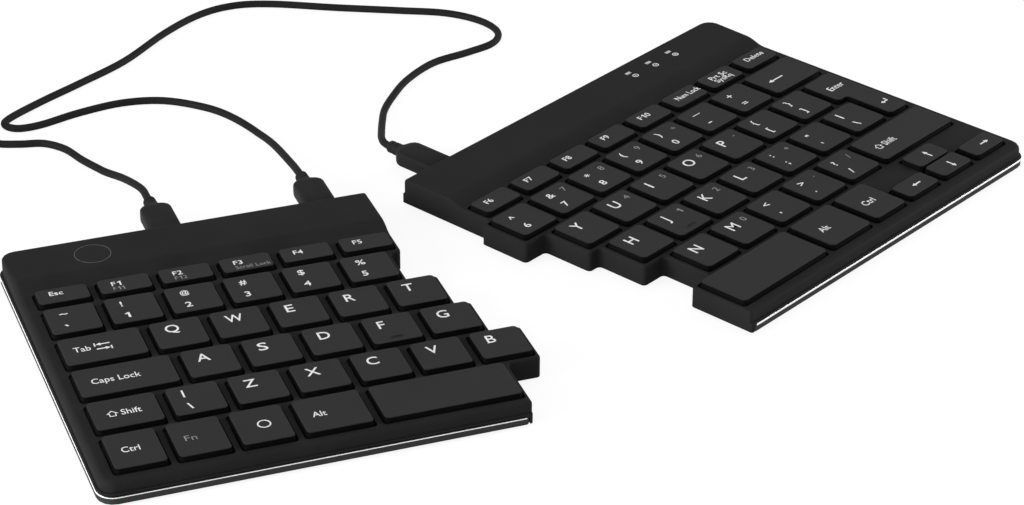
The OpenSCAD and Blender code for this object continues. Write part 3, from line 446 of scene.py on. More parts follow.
nickel = plated("plug_nickel", (0.60, 0.60, 0.61), (0.70, 0.70, 0.71), (0.22, 0.32))
paint("usb_plug_shell", nickel)
paint("plug_shells", nickel)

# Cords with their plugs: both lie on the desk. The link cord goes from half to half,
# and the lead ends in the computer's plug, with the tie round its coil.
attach(link_cord, "halves")
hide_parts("link_cord")
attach(lead, "halves")
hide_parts("host_cord", "host_coil")

# Tie of the coil: a woven hook and loop strap laid round one side of the coil and pressed shut.
# It holds the turns of both layers together.
TIE_R = 1.6
tie_low, tie_high = (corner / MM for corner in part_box("cord_tie"))
strap_weave = moulded("strap_weave", grey(0.016), grey(0.034), (0.8, 0.95), 0.1,
                      grain=1400, cloud=900, depth=0.12)


def strap_loop(inset, r, n=6):
    """The strap seen along its width, as a rounded loop that lies within the tie's box by inset."""
    y0, y1, z0, z1 = tie_low.y + inset, tie_high.y - inset, tie_low.z + inset, tie_high.z - inset
    points = []
    for cy, cz, start in ((y1 - r, z1 - r, 0), (y0 + r, z1 - r, 90),
                          (y0 + r, z0 + r, 180), (y1 - r, z0 + r, 270)):
        for k in range(n + 1):
            a = math.radians(start + 90 * k / n)
            points.append((cy + r * math.cos(a), cz + r * math.sin(a)))
    return points


form = bmesh.new()
outer, inner = strap_loop(0, TIE_R), strap_loop(TIE_T, TIE_R - TIE_T)
edges = [[form.verts.new((x, y, z)) for y, z in loop]
         for loop, x in ((outer, tie_low.x), (outer, tie_high.x), (inner, tie_high.x), (inner, tie_low.x))]
for near, far in zip(edges, edges[1:] + edges[:1]):
    wall(form, near, far)
bmesh.ops.recalc_face_normals(form, faces=form.faces)
form.transform(TO_METRES)
tie_mesh = finished_mesh("tie", form)
sharp_shaded(tie_mesh)
tie = new_piece("coil_tie_strap", tie_mesh, strap_weave)
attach(tie, "halves")
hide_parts("cord_tie")

# Base trays: black moulded trays that close the halves from below and show as a dark edge under
# the deck. Copies of the solids, with their sharp edges broken by a small bevel.
TRAY_EDGE = 0.12
MERGE = 2e-6
FLAT_ANGLE = 0.6
base_plastic = moulded("base_plastic", grey(0.025), grey(0.029), (0.6, 0.7), 0.01, grain=2400, depth=0.02)


def merged_form(node):
    """A CAD solid with its loose triangles joined."""
    form = bmesh.new()
    form.from_mesh(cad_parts[node].data)
    bmesh.ops.remove_doubles(form, verts=form.verts, dist=MERGE)
    return form


def eased_copy(node, name, material, width, segments=2, angle=35):
    """A merged copy of a CAD solid with its edges eased by a bevel, which stands for the solid."""
    form = merged_form(node)
    bmesh.ops.dissolve_limit(form, angle_limit=math.radians(FLAT_ANGLE), verts=form.verts, edges=form.edges)
    mesh = finished_mesh(name, form)
    sharp_shaded(mesh, angle)
    piece = new_piece(name, mesh, material)
    ease = piece.modifiers.new("eased_edges", "BEVEL")
    ease.width = width * MM
    ease.segments = segments
    ease.limit_method = "ANGLE"
    ease.angle_limit = math.radians(angle)
    ease.use_clamp_overlap = True
    ease.harden_normals = True
    even = piece.modifiers.new("even_shading", "WEIGHTED_NORMAL")
    even.keep_sharp = True
    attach(piece, "halves")
    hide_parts(node)
    return piece


for half in ("left", "right"):
    tray = eased_copy(half + "_base", half + "_base_tray", base_plastic, TRAY_EDGE)

# Feet and screws: soft rubber discs in pockets under the corners, and small zinc screws that go up
# through the trays into the rear bars.
foot_rubber = moulded("foot_rubber", grey(0.020), grey(0.032), (0.75, 0.9), 0.2, grain=1500, depth=0.05)
paint("rubber_feet", foot_rubber)
zinc = plated("zinc_plate", (0.52, 0.52, 0.54), (0.62, 0.62, 0.63), (0.3, 0.42))
paint("case_screws", zinc)

# Inner works: key plates of stamped steel, contact films, circuit boards and sockets. They are
# clamped between tray and cover, and the caps hide nearly all of them.
contact_film = moulded("contact_film", grey(0.020), grey(0.030), (0.4, 0.5), 0.2, grain=900)
board_resist = moulded("board_resist", (0.012, 0.09, 0.035), (0.02, 0.14, 0.06), (0.25, 0.4), 0.4,
                       cloud=260)
for half, board in (("left", "left_controller_board"), ("right", "right_link_board")):
    paint(half + "_key_plate", zinc)
    paint(half + "_membrane", contact_film)
    paint(board, board_resist)
paint("usb_sockets", nickel)

# Trim strips: thin satin silver strips along the outer sides and the fronts, whose level faces in the
# groove take the tray's black as painted shade. Each lies in a groove of the tray's rim, under the
# cover's flange, and is slimmer in front.
TRIM_FRONT = {"left": 0.42, "right": 0.78}
TRIM_TURN_Y, TRIM_TURN = 4.0, 6.0
TRIM_EDGE = 0.05
PAINTED_SHADE_TILT = 0.5
satin_silver = plated("satin_silver", (0.62, 0.62, 0.63), (0.68, 0.68, 0.69), (0.4, 0.46),
                      stretch=(20, 20, 300), depth=0.001, metal=0.4)
for half in ("left", "right"):
    strip = eased_copy(half + "_trim_strip", half + "_trim", satin_silver, TRIM_EDGE)
    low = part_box(half + "_trim_strip")[0].z
    to_half = half_matrix(half).inverted()
    for vert in strip.data.vertices:
        front = min(max((TRIM_TURN_Y - (to_half @ (vert.co / MM)).y) / TRIM_TURN, 0), 1)
        slim = 1 + (TRIM_FRONT[half] - 1) * front
        vert.co.z = low + (vert.co.z - low) * slim
    # Level faces lie in the shade of the groove: they take the tray's black plastic as painted shade.
    strip.data.materials.append(base_plastic)
    for face in strip.data.polygons:
        face.material_index = int(abs(face.normal.z) > PAINTED_SHADE_TILT)

# Top cases: black moulded covers with a window for each key, stepped inner walls and a raised rear
# bar. Copies of the solids, with the rims of the windows broken by a small bevel.
CASE_EDGE = 0.14
ROOF_Z, ROOF_NEAR = 7.1, 0.05
WALL_FACE = 0.93
# The flat faces take a darker copy of the cover plastic as painted shade, and the walls a lighter copy as
# painted light.
cover_flats_painted_shade = moulded("cover_flats_painted_shade", grey(0.0085), grey(0.011), (0.55, 0.68), 0.03, depth=0.025)
cover_walls_painted_light = moulded("cover_walls_painted_light", grey(0.0112), grey(0.0130), (0.55, 0.66), 0.01, depth=0.015)
for half in ("left", "right"):
    cover = eased_copy(half + "_top_case", half + "_top_cover", cover_flats_painted_shade, CASE_EDGE)
    cover.data.materials.append(cover_walls_painted_light)
    # Steep faces are walls, apart from the rims of the windows, whose feet are at the roof; they take the
    # lighter copy, painted light, and the rest take the darker one, painted shade.
    for face in cover.data.polygons:
        foot = min(cover.data.vertices[v].co.z for v in face.vertices) / MM
        face.material_index = int(abs(face.normal.z) < WALL_FACE and abs(foot - ROOF_Z) > ROOF_NEAR)

# Status disc and lights: a plain round insert on the left rear bar, and three clear light pipes
# that come up through the right rear bar from its board, each behind a small printed sign.
paint("status_disc", moulded("disc_plastic", grey(0.0085), grey(0.011), (0.5, 0.6), 0.03))
paint("indicator_lights", moulded("light_pipe", grey(0.22), grey(0.30), (0.3, 0.4), 0.5, cloud=400))

# Key caps: thin black caps with rounded edges, a shallow dish on top and a hollow underside.
# They clip on to the levers, and each row of equal caps is one cap repeated along the row.
PITCH, FN_PITCH, COLS = 19.0, 19.65, 14.44
GAP_X, GAP_Y, FLARE = 3.4, 3.3, 0.35
ROW_Y = (0, 21.2, 39.85, 58.5, 77.15, 95.8, 107.6)
FN_RIGHT_X = COLS * PITCH - 8 * FN_PITCH
ARROW_D, ARROW_GAP = 8.45, 1.0
CAP_CORNER = 1.5
CAP_WALLS = ((1.0, 9.0), (0.85, 7.95), (-0.2, 7.9), (-FLARE + 0.02, 7.98))
CAP_EDGE = ((0.0, 9.7), (0.03, 9.85), (0.11, 9.95), (0.24, 9.99), (0.4, 10.0))
CAP_DISH = ((1.4, 9.985), (2.2, 9.965), (3.1, 9.955))
key_plastic = moulded("key_plastic", grey(0.0138), grey(0.0162), (0.5, 0.62), 0.05, grain=3000, depth=0.02)
# The steep sides of the caps take a near-black copy of the cap plastic: painted shade for the dark gaps
# between the caps.
cap_sides_painted_shade = moulded("cap_sides_painted_shade", grey(0.002), grey(0.003), (0.6, 0.7), 0.01, grain=3000, depth=0.01)


def key_top(row, a, b):
    """Corners (x0, y0, x1, y1) of a key top between two columns of the grid."""
    return (a * PITCH + GAP_X / 2, ROW_Y[row] + GAP_Y / 2,
            b * PITCH - GAP_X / 2, ROW_Y[row + 1] - GAP_Y / 2)


def fn_top(x):
    return (x + GAP_X / 2, ROW_Y[5] + GAP_Y / 2, x + FN_PITCH - GAP_X / 2, ROW_Y[6] - GAP_Y / 2)


def arrow_top(u, upper):
    x0, y0, x1, _ = key_top(0, COLS - u, COLS - u + 1)
    y = y0 + upper * (ARROW_D + ARROW_GAP)
    return (x0, y, x1, y + ARROW_D)


def box_outline(x0, y0, x1, y1):
    return [(x0, y0), (x1, y0), (x1, y1), (x0, y1)]


def rounded_ring(outline, inset, radius, z, n=4):
    """The outline moved in by inset, with its corners rounded, as points at one height."""
    points = []
    count = len(outline)
    for i in range(count):
        before, here, after = (Vector(outline[k % count]) for k in (i - 1, i, i + 1))
        a, b = (here - before).normalized(), (after - here).normalized()
        corner = here + inset * (Vector((-a.y, a.x)) + Vector((-b.y, b.x)))
        turned_in = a.x * b.y - a.y * b.x > 0
        r = max(radius - inset if turned_in else radius + inset, 0.25)
        centre = corner - a * r + b * r
        for k in range(n + 1):
            t = math.pi / 2 * k / n
            p = centre + r * (a * math.sin(t) - b * math.cos(t))
            points.append((p.x, p.y, z))
    return points


def cap_mesh(name, outline):
    levels = CAP_WALLS + CAP_EDGE + CAP_DISH
    return loft_mesh(name, [rounded_ring(outline, inset, CAP_CORNER, z) for inset, z in levels], Matrix())


row_tree = bpy.data.node_groups.new("row_of_caps", "GeometryNodeTree")
row_inputs = {}
for label, kind in (("Cap", "NodeSocketGeometry"), ("Count", "NodeSocketInt"),
                    ("Spacing", "NodeSocketFloat"), ("Finish", "NodeSocketMaterial"),
                    ("Painted shade sides", "NodeSocketMaterial")):
    row_inputs[label] = row_tree.interface.new_socket(label, in_out="INPUT", socket_type=kind).identifier
row_tree.interface.new_socket("Row", in_out="OUTPUT", socket_type="NodeSocketGeometry")
enter = row_tree.nodes.new("NodeGroupInput")
leave = row_tree.nodes.new("NodeGroupOutput")
step = row_tree.nodes.new("ShaderNodeCombineXYZ")
places = row_tree.nodes.new("GeometryNodeMeshLine")
on_places = row_tree.nodes.new("GeometryNodeInstanceOnPoints")
real = row_tree.nodes.new("GeometryNodeRealizeInstances")
coat = row_tree.nodes.new("GeometryNodeSetMaterial")
# Faces steeper than the threshold get the near-black copy, painted shade.
shaded_side_coat = row_tree.nodes.new("GeometryNodeSetMaterial")
facing = row_tree.nodes.new("GeometryNodeInputNormal")
facing_axes = row_tree.nodes.new("ShaderNodeSeparateXYZ")
steep = row_tree.nodes.new("FunctionNodeCompare")
steep.operation = "LESS_THAN"
steep.inputs["B"].default_value = PAINTED_SHADE_TILT
link = row_tree.links.new
link(enter.outputs["Spacing"], step.inputs["X"])
link(enter.outputs["Count"], places.inputs["Count"])
link(step.outputs["Vector"], places.inputs["Offset"])
link(places.outputs["Mesh"], on_places.inputs["Points"])
link(enter.outputs["Cap"], on_places.inputs["Instance"])
link(on_places.outputs["Instances"], real.inputs["Geometry"])
link(real.outputs["Geometry"], coat.inputs["Geometry"])
link(enter.outputs["Finish"], coat.inputs["Material"])
link(facing.outputs["Normal"], facing_axes.inputs["Vector"])
link(facing_axes.outputs["Z"], steep.inputs["A"])
link(steep.outputs["Result"], shaded_side_coat.inputs["Selection"])
link(coat.outputs["Geometry"], shaded_side_coat.inputs["Geometry"])
link(enter.outputs["Painted shade sides"], shaded_side_coat.inputs["Material"])
link(shaded_side_coat.outputs["Geometry"], leave.inputs["Row"])


def repeated(piece, count, spacing):
    """The piece's mesh becomes a row of itself, as one plain mesh whose steep sides are near-black as
    painted shade.
    """
    row = piece.modifiers.new("row", "NODES")
    row.node_group = row_tree
    row[row_inputs["Count"]] = count
    row[row_inputs["Spacing"]] = spacing * MM
    row[row_inputs["Finish"]] = key_plastic
    row[row_inputs["Painted shade sides"]] = cap_sides_painted_shade
    solid = bpy.data.meshes.new_from_object(piece.evaluated_get(bpy.context.evaluated_depsgraph_get()))
    piece.modifiers.remove(row)
    piece.data = solid
    for i, finish in enumerate(solid.materials):
        solid.materials[i] = bpy.data.materials[finish.name]


enter_wide = key_top(3, 13.5, COLS)
enter_tall = key_top(2, 13.75, COLS)
enter_outline = [(enter_tall[0], enter_tall[1]), (enter_tall[2], enter_tall[1]),
                 (enter_wide[2], enter_wide[3]), (enter_wide[0], enter_wide[3]),
                 (enter_wide[0], enter_wide[1]), (enter_tall[0], enter_wide[1])]
KEYS = {
    "left_function_keys": ("left", fn_top(0), 6, FN_PITCH),
    "left_number_keys": ("left", key_top(4, 0, 1), 6, PITCH),
    "left_upper_letters": ("left", key_top(3, 1.5, 2.5), 5, PITCH),
    "left_middle_letters": ("left", key_top(2, 1.75, 2.75), 5, PITCH),
    "left_lower_letters": ("left", key_top(1, 1.25, 2.25), 6, PITCH),
    "tab_key": ("left", key_top(3, 0, 1.5), 1, 0),
    "caps_lock_key": ("left", key_top(2, 0, 1.75), 1, 0),
    "left_shift_key": ("left", key_top(1, 0, 1.25), 1, 0),
    "left_ctrl_key": ("left", key_top(0, 0, 1), 1, 0),
    "fn_key": ("left", key_top(0, 1, 2), 1, 0),
    "system_key": ("left", key_top(0, 2, 3), 1, 0),
    "left_alt_key": ("left", key_top(0, 3, 4.25), 1, 0),
    "left_space_bar": ("left", key_top(0, 4.25, 6.67), 1, 0),
    "right_function_keys": ("right", fn_top(FN_RIGHT_X), 8, FN_PITCH),
    "right_number_keys": ("right", key_top(4, 6, 7), 7, PITCH),
    "right_upper_letters": ("right", key_top(3, 6.5, 7.5), 7, PITCH),
    "right_middle_letters": ("right", key_top(2, 6.75, 7.75), 7, PITCH),
    "right_lower_letters": ("right", key_top(1, 7.25, 8.25), 5, PITCH),
    "backspace_key": ("right", key_top(4, 13, COLS), 1, 0),
    "enter_key": ("right", enter_wide, 1, 0),
    "right_shift_key": ("right", key_top(1, 12.25, COLS), 1, 0),
    "right_space_bar": ("right", key_top(0, 6.77, 9.19), 1, 0),
    "right_alt_key": ("right", key_top(0, 9.19, 10.44), 1, 0),
    "right_ctrl_key": ("right", key_top(0, 10.44, 11.44), 1, 0),
    "left_arrow_key": ("right", arrow_top(3, 0), 1, 0),
    "down_arrow_key": ("right", arrow_top(2, 0), 1, 0),
    "up_arrow_key": ("right", arrow_top(2, 1), 1, 0),
    "right_arrow_key": ("right", arrow_top(1, 0), 1, 0),
}
HOME_KEYS = {"left_middle_letters": 3, "right_middle_letters": 1}
HOME_W, HOME_D, HOME_IN, HOME_CORNER = 4.0, 0.6, 2.2, 0.28
HOME_BAR = ((0.0, 9.9), (0.0, 10.14), (0.06, 10.21), (0.16, 10.24))


def add_home_bar(piece, middle, front):
    """A small raised bar near the front of a cap, felt by the first finger."""
    start = front + HOME_IN
    outline = box_outline(middle - HOME_W / 2, start, middle + HOME_W / 2, start + HOME_D)
    rings = [rounded_ring(outline, inset, HOME_CORNER, z) for inset, z in HOME_BAR]
    bar_mesh = loft_mesh("home_bar", rings, Matrix())
    form = bmesh.new()
    form.from_mesh(piece.data)
    form.from_mesh(bar_mesh)
    form.to_mesh(piece.data)
    form.free()
    bpy.data.meshes.remove(bar_mesh)


for node, (half, top, count, spacing) in KEYS.items():
    outline = enter_outline if node == "enter_key" else box_outline(*top)
    cap = new_piece(node + "_caps" if count > 1 else node + "_cap", cap_mesh(node, outline), key_plastic)
    repeated(cap, count, spacing)
    if node in HOME_KEYS:
        add_home_bar(cap, (top[0] + top[2]) / 2 + HOME_KEYS[node] * spacing, top[1])
    place = half_matrix(half)
    place.translation *= MM
    cap.data.transform(place)
    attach(cap, node)
    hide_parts(node)

# Key mechanisms: a rubber dome and two crossed levers under each cap, and a steel wire that keeps a
# wide cap level. Copies of the solids, a set for each key or row.
dome_rubber = moulded("dome_rubber", grey(0.014), grey(0.022), (0.7, 0.85), 0.15)
lever_plastic = moulded("lever_plastic", grey(0.015), grey(0.022), (0.5, 0.6), 0.2)


def under_key(node, point):
    """Whether a point, in millimetres on its half, lies under the key or row of keys."""
    x0, y0, x1, y1 = KEYS[node][1]
    if node == "enter_key":
        y0 = enter_tall[1]
    return x0 < point.x < x1 + (KEYS[node][2] - 1) * KEYS[node][3] and y0 < point.y < y1


for half in ("left", "right"):
    to_half = half_matrix(half).inverted()
    for source, suffix, finish, slot in (
            (half + "_rubber_domes", "_dome", dome_rubber, "rubber"),
            (half + "_scissor_levers", "_levers", lever_plastic, "lever_plastic"),
            ("stabiliser_bars", "_wire", zinc, "steel")):
        whole = merged_form(source)
        spots = [to_half @ (v.co / MM) for v in whole.verts]
        for node in (key for key in KEYS if KEYS[key][0] == half):
            if not any(under_key(node, spot) for spot in spots):
                continue
            part = whole.copy()
            others = [v for v, spot in zip(part.verts, spots) if not under_key(node, spot)]
            bmesh.ops.delete(part, geom=others, context="VERTS")
            mesh = finished_mesh(node + suffix, part)
            sharp_shaded(mesh)
            folding = new_piece(node + suffix, mesh, finish)
            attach(folding, "halves")
            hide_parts(source)
            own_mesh(folding)
        whole.free()

# Legends: letters and signs printed in white on the key tops, and thin grey ones for the second
# layer. Each print lies on the dish of its cap and goes down with it.
INK, THIN_INK = 0, 1
PRINT_PROUD, PRINT_SUNK, PRINT_MERGE = 0.025, 0.05, 1e-4
LETTER_H, SIGN_H, WORD_H, SMALL_H, SECOND_H, THIN_H = 4.1, 2.8, 2.7, 2.3, 2.52, 2.0
BOLD, SMALL_BOLD, WORD_BOLD, THIN = 0.04, 0.02, 0.015, -0.02
LEFT_IN, SIGN_IN, SECOND_IN = 4.1, 4.4, 12.4
LETTER_DOWN, SECOND_DOWN, FN_DOWN, FN_SECOND_DOWN = 5.1, 4.3, 3.4, 6.4
SIGN_DOWN = {"upper": 4.2, "lower": 11.1}
SIGN_SIZE = {"@": 0.8, "`": 1.5}
SIGN_BOLD = {"|": 0.09, "\\": 0.09}
SIGN_WIDE = {"@": 0.9, "#": 0.95, "_": 1.7, "-": 1.6}
WIDE, WORD_WIDE, SMALL_WIDE = 1.12, 0.89, 1.05
LETTER_WIDE = {"E": 1.1, "J": 0.8, "K": 0.88, "S": 1.3, "W": 0.85}
PLAIN_LETTER_WIDE = 0.97
LETTER_GAP = 0.24
RAISE = 0.1


def print_ink(name, low, high, level):
    return moulded(name, grey(low), grey(high), (0.5, 0.6), level, grain=2500, cloud=300, depth=0.004)


white_print = print_ink("white_print", 0.47, 0.55, 0.3)
grey_print = print_ink("grey_print", 0.14, 0.18, 0.3)


def cap_height():
    font = bpy.data.curves.new("measure", "FONT")
    font.body = "H"
    sample = bpy.data.objects.new("measure", font)
    scene.collection.objects.link(sample)
    bpy.context.view_layer.update()
    height = sample.dimensions.y
    bpy.data.objects.remove(sample)
    return height


FONT_CAP = cap_height()


def dish_z(outline, x, y):
    """Height of a cap's top at a point: it falls away from the edge towards the middle."""
    inside = min(abs((b[0] - a[0]) * (a[1] - y) - (a[0] - x) * (b[1] - a[1])) / math.dist(a, b)
                 for a, b in zip(outline, outline[1:] + outline[:1]))
    profile = CAP_EDGE[-1:] + CAP_DISH
    for (d0, z0), (d1, z1) in zip(profile, profile[1:]):
        if inside < d1:
            return z0 + (z1 - z0) * max(inside - d0, 0) / (d1 - d0)
    return profile[-1][1]


def font_part(text, height, weight):
    """Text in millimetres as a solid that reaches as far below z 0 as above it."""
    font = bpy.data.curves.new("legend", "FONT")
    font.body = text
    font.size = height / FONT_CAP
    font.offset = weight
    font.resolution_u = 3
    font.extrude = RAISE
    holder = bpy.data.objects.new("legend", font)
    scene.collection.objects.link(holder)
    mesh = bpy.data.meshes.new_from_object(holder.evaluated_get(bpy.context.evaluated_depsgraph_get()))
    bpy.data.objects.remove(holder)
    part = bmesh.new()
    part.from_mesh(mesh)
    bpy.data.meshes.remove(mesh)
    return part


def one_part(height, weight):
    """The figure one with its flag, which the plain font leaves out."""
    w, h = 0.1 * height + weight, height + weight
    flat = [(-w, -weight), (w, -weight), (w, h), (-0.7 * w, h), (-0.36 * height - weight, 0.8 * h),
            (-0.28 * height, 0.66 * h), (-w, 0.78 * h)]
    part = bmesh.new()
    tops, feet = ([part.verts.new((px, py, z)) for px, py in flat] for z in (RAISE, -RAISE))
    part.faces.new(tops)
    part.faces.new(list(reversed(feet)))
    wall(part, feet, tops)
    return part


def pour(form, part):
    """Moves all of a part into a form."""
    holder = finished_mesh("part", part)
    form.from_mesh(holder)
    bpy.data.meshes.remove(holder)


def text_part(text, height, weight):
    """Raised text, set letter by letter where it holds the figure one."""
    if "1" not in text:
        return font_part(text, height, weight)
    line = bmesh.new()
    at = 0.0
    for char in text:
        part = one_part(height, weight) if char == "1" else font_part(char, height, weight)
        shift = at - min(v.co.x for v in part.verts)
        part.transform(Matrix.Translation((shift, 0, 0)))
        at = max(v.co.x for v in part.verts) + LETTER_GAP * height
        pour(line, part)
    return line


def print_part(form, part, slot):
    bmesh.ops.remove_doubles(part, verts=part.verts, dist=PRINT_MERGE)
    for face in part.faces:
        face.material_index = slot
        face.smooth = False
    pour(form, part)


def add_word(form, text, x, y, height, weight, slot, outline, align="left", wide=WIDE):
    """Text as a thin solid on a key top, its left edge or its middle at x and its middle at y."""
    part = text_part(text, height, weight)
    xs = [v.co.x for v in part.verts]
    ys = [v.co.y for v in part.verts]
    x_from = min(xs) if align == "left" else (min(xs) + max(xs)) / 2
    y_mid = (min(ys) + max(ys)) / 2 if len(text) == 1 else height / 2
    for vert in part.verts:
        px = x + (vert.co.x - x_from) * wide
        py = y + vert.co.y - y_mid
        vert.co = (px, py, dish_z(outline, px, py) + (PRINT_PROUD if vert.co.z > 0 else -PRINT_SUNK))
    print_part(form, part, slot)


def add_shape(form, shapes, x, y, height):
    """Flat shapes round (x, y) as thin solids on a surface. A shape is a list of points, or a band
    as a tuple of its outer and its inner loop."""
    part = bmesh.new()
    for shape in shapes:
        rows = []
        for loop in shape if isinstance(shape, tuple) else (shape,):
            spots = [(x + px, y + py, height(x + px, y + py)) for px, py in loop]
            tops = [part.verts.new((px, py, pz + PRINT_PROUD)) for px, py, pz in spots]
            feet = [part.verts.new((px, py, pz - PRINT_SUNK)) for px, py, pz in spots]
            rows.append((tops, feet))
        if len(rows) == 1:
            part.faces.new(tops)
            part.faces.new(feet)
            wall(part, tops, feet)
        else:
            (tops, feet), (inner_tops, inner_feet) = rows
            wall(part, tops, feet)
            wall(part, feet, inner_feet)
            wall(part, inner_feet, inner_tops)
            wall(part, inner_tops, tops)
    bmesh.ops.recalc_face_normals(part, faces=part.faces)
    print_part(form, part, INK)


def arrow(angle, length=4.2, stem=0.55, head=1.7, head_l=1.6):
    """A straight arrow that points along an angle in degrees."""
    h = length / 2
    neck = h - head_l
    flat = [(-h, -stem / 2), (neck, -stem / 2), (neck, -head / 2), (h, 0), (neck, head / 2),
            (neck, stem / 2), (-h, stem / 2)]
    c, s = math.cos(math.radians(angle)), math.sin(math.radians(angle))
    return [(px * c - py * s, px * s + py * c) for px, py in flat]


def moved(shape, dx, dy):
    return [(x + dx, y + dy) for x, y in shape]


def ring_band(r, width, n=24):
    """A printed ring, as a band between two circles."""
    turns = [2 * math.pi * i / n for i in range(n)]
    return tuple([(e * math.cos(a), e * math.sin(a)) for a in turns] for e in (r, r - width))


def border_band(shape, width):
    """The border of a flat shape, as a band that lies inside it."""
    count = len(shape)
    inner = []
    for i in range(count):
        before, here, after = (Vector(shape[k % count]) for k in (i - 1, i, i + 1))
        a, b = (here - before).normalized(), (after - here).normalized()
        normal_a, normal_b = Vector((-a.y, a.x)), Vector((-b.y, b.x))
        inner.append(tuple(here + (normal_a + normal_b) * width / (1 + normal_a.dot(normal_b))))
    return (shape, inner)


SHIFT_ARROW = [(-1.05, -1.5), (1.05, -1.5), (1.05, -0.1), (1.85, -0.1), (0.0, 1.6), (-1.85, -0.1),
               (-1.05, -0.1)]
SHIFT_SIGN = [border_band(SHIFT_ARROW, 0.3)]
TAB_SIGN = [box_outline(-2.6, 0.35, -2.2, 2.25), moved(arrow(180, 4.3, 0.5, 1.6, 1.5), 0.1, 1.3),
            box_outline(2.2, -2.25, 2.6, -0.35), moved(arrow(0, 4.3, 0.5, 1.6, 1.5), -0.1, -1.3)]
ENTER_SIGN = [[(-2.0, -0.5), (-0.6, -1.3), (-0.6, -0.75), (1.6, -0.75), (1.6, 1.3), (1.1, 1.3),
               (1.1, -0.25), (-0.6, -0.25), (-0.6, 0.3)]]


def place_print(form, entry, top, outline):
    """One entry of a key's print: its kind, its text or shape, and for some kinds its place from the
    rear left corner, its height and its width."""
    kind, what, *place = entry
    x0, rear = top[0], top[3]
    if kind == "letter":
        wide = LETTER_WIDE.get(what, PLAIN_LETTER_WIDE)
        add_word(form, what, x0 + LEFT_IN, rear - LETTER_DOWN, LETTER_H, BOLD, INK, outline, wide=wide)
    elif kind in SIGN_DOWN:
        size, wide = SIGN_H * SIGN_SIZE.get(what, 1), SIGN_WIDE.get(what, WIDE)
        weight = SIGN_BOLD.get(what, BOLD)
        add_word(form, what, x0 + SIGN_IN, rear - SIGN_DOWN[kind], size, weight, INK, outline, wide=wide)
    elif kind == "second":
        add_word(form, what, x0 + SECOND_IN, rear - SECOND_DOWN, SECOND_H, THIN, THIN_INK, outline, "middle")
    elif kind == "word":
        across, down, size, *wide = place
        weight, usual = (SMALL_BOLD, SMALL_WIDE) if size == SMALL_H else (WORD_BOLD, WORD_WIDE)
        wide = wide[0] if wide else usual
        add_word(form, what, x0 + across, rear - down, size, weight, INK, outline, wide=wide)
    elif kind == "thin":
        across, down, size, wide = place
        add_word(form, what, x0 + across, rear - down, size, THIN, THIN_INK, outline, wide=wide)
    elif kind == "shape":
        across, down = place
        add_shape(form, what, x0 + across, rear - down, lambda x, y: dish_z(outline, x, y))


def signs(upper, lower, second=None):
    return [("upper", upper), ("lower", lower)] + ([("second", second)] if second else [])


def letter(text, second=None):
    return [("letter", text)] + ([("second", second)] if second else [])


def fn_word(text, thin=None, thin_wide=0.95):
    words = [("word", text, LEFT_IN, FN_DOWN, SMALL_H)]
    return words + [("thin", thin, LEFT_IN, FN_SECOND_DOWN, THIN_H, thin_wide)] if thin else words


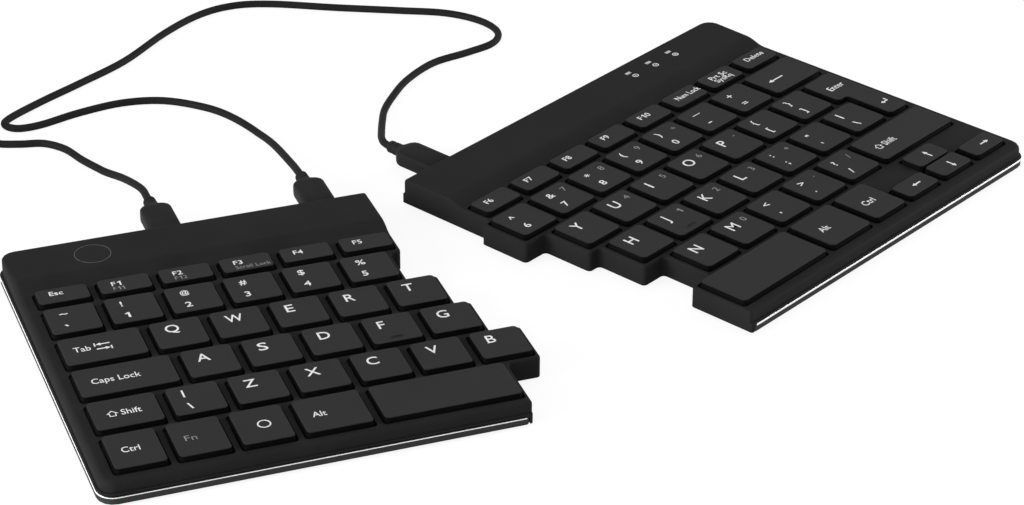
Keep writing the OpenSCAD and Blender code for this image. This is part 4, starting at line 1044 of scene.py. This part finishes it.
PRINTS = {
    "left_function_keys": [[("word", "Esc", LEFT_IN, 3.0, SMALL_H)], fn_word("F1", "F11"),
                           fn_word("F2", "F12"), fn_word("F3", "Scroll Lock", 0.86), fn_word("F4"),
                           fn_word("F5")],
    "left_number_keys": [signs("~", "`"), signs("!", "1"), signs("@", "2"), signs("#", "3"),
                         signs("$", "4"), signs("%", "5")],
    "left_upper_letters": [letter(c) for c in "QWERT"],
    "left_middle_letters": [letter(c) for c in "ASDFG"],
    "left_lower_letters": [signs("|", "\\")] + [letter(c) for c in "ZXCVB"],
    "tab_key": [[("word", "Tab", 3.6, 7.3, WORD_H), ("shape", TAB_SIGN, 12.7, 7.5)]],
    "caps_lock_key": [[("word", "Caps Lock", 4.5, 7.6, WORD_H)]],
    "left_shift_key": [[("shape", SHIFT_SIGN, 6.2, 7.8), ("word", "Shift", 8.8, 7.8, WORD_H)]],
    "left_ctrl_key": [[("word", "Ctrl", 4.0, 8.7, WORD_H)]],
    "fn_key": [[("thin", "Fn", 3.7, 8.9, 2.7, 1.1)]],
    "system_key": [[("shape", [ring_band(2.1, 0.45)], 8.5, 8.9)]],
    "left_alt_key": [[("word", "Alt", 4.0, 9.0, WORD_H)]],
    "right_function_keys": [fn_word("F6"), fn_word("F7"), fn_word("F8"), fn_word("F9"), fn_word("F10"),
                            [("word", "Num Lock", LEFT_IN, 3.85, SMALL_H, 0.84)],
                            [("word", "Prt Sc", LEFT_IN, 3.15, SMALL_H),
                             ("word", "SysRq", LEFT_IN, 5.75, SMALL_H)],
                            fn_word("Delete")],
    "right_number_keys": [signs("^", "6"), signs("&", "7", "7"), signs("*", "8", "8"), signs("(", "9", "9"),
                          signs(")", "0", "*"), signs("_", "-"), signs("+", "=")],
    "right_upper_letters": [letter("Y"), letter("U", "4"), letter("I", "5"), letter("O", "6"),
                            letter("P", "-"), signs("{", "["), signs("}", "]")],
    "right_middle_letters": [letter("H"), letter("J", "1"), letter("K", "2"), letter("L", "3"),
                             signs(":", ";", "+"), signs('"', "'"), signs("|", "\\")],
    "right_lower_letters": [letter("N"), letter("M", "0"), signs("<", ","), signs(">", ".", "."),
                            signs("?", "/", "/")],
    "backspace_key": [[("shape", [arrow(180, 7.5, 0.55, 1.9, 1.9)], 7.8, 8.1)]],
    "enter_key": [[("word", "Enter", 3.9, 8.3, WORD_H), ("shape", ENTER_SIGN, 10.2, 27)]],
    "right_shift_key": [[("shape", SHIFT_SIGN, 5.7, 8.1), ("word", "Shift", 8.3, 8.1, WORD_H)]],
    "right_alt_key": [[("word", "Alt", 4.6, 9.0, WORD_H)]],
    "right_ctrl_key": [[("word", "Ctrl", 4.2, 9.1, WORD_H)]],
    "left_arrow_key": [[("shape", [arrow(180)], 8.4, 4.3)]],
    "down_arrow_key": [[("shape", [arrow(-90)], 8.7, 5.0)]],
    "up_arrow_key": [[("shape", [arrow(90)], 8.75, 4.5)]],
    "right_arrow_key": [[("shape", [arrow(0)], 9.5, 4.4)]],
}
for node, prints in PRINTS.items():
    half, top, count, spacing = KEYS[node]
    form = bmesh.new()
    for k, entries in enumerate(prints):
        here = (top[0] + k * spacing, top[1], top[2] + k * spacing, top[3])
        outline = enter_outline if node == "enter_key" else box_outline(*here)
        for entry in entries:
            place_print(form, entry, here, outline)
    form.transform(TO_METRES @ half_matrix(half))
    mesh = finished_mesh(node + "_print", form)
    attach(new_piece(node + "_print", mesh, white_print, grey_print), node)

# Prints on the rear bars: a small lock sign beside each light, and a thin ring round the plain
# place on the left bar. They are printed on the covers.
CREST_Y, CREST_Z, REAR_Y, REAR_FALL = 114.75, 10.2, 133.3, 0.3
LIGHT_X, LIGHT_STEP, LIGHT_Y = 225.36, 11.05, 127.1
LOCK_SIDE, LOCK_FRONT, LOCK_R, LOCK_LINE = 0.4, 3.1, 1.15, 0.32
DISC_X, DISC_Y, DISC_R, DISC_GAP, DISC_LINE = 24.4, 122.8, 5.8, 0.05, 0.14
ring_ink = print_ink("ring_ink", 0.07, 0.09, 0.2)


def bar_z(x, y):
    """Height of the rear bars' tops, which fall a little to the rear."""
    return CREST_Z - REAR_FALL * (y - CREST_Y) / (REAR_Y - CREST_Y)


LOCK_MARKS = (box_outline(-0.16, -0.5, 0.16, 0.5), box_outline(-0.5, -0.14, 0.5, 0.14),
              arrow(-90, 1.1, 0.3, 0.8, 0.5))
lock_form = bmesh.new()
for k, mark in enumerate(LOCK_MARKS):
    x, y = LIGHT_X + k * LIGHT_STEP + LOCK_SIDE, LIGHT_Y - LOCK_FRONT
    add_shape(lock_form, [ring_band(LOCK_R, LOCK_LINE, n=18), mark], x, y, bar_z)
ring_form = bmesh.new()
add_shape(ring_form, [ring_band(DISC_R + DISC_GAP, DISC_LINE, n=64)], DISC_X, DISC_Y, bar_z)
for half, form, name, ink in (("right", lock_form, "lock_signs", white_print),
                              ("left", ring_form, "disc_ring_line", ring_ink)):
    form.transform(TO_METRES @ half_matrix(half))
    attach(new_piece(name, finished_mesh(name, form), ink), "halves")
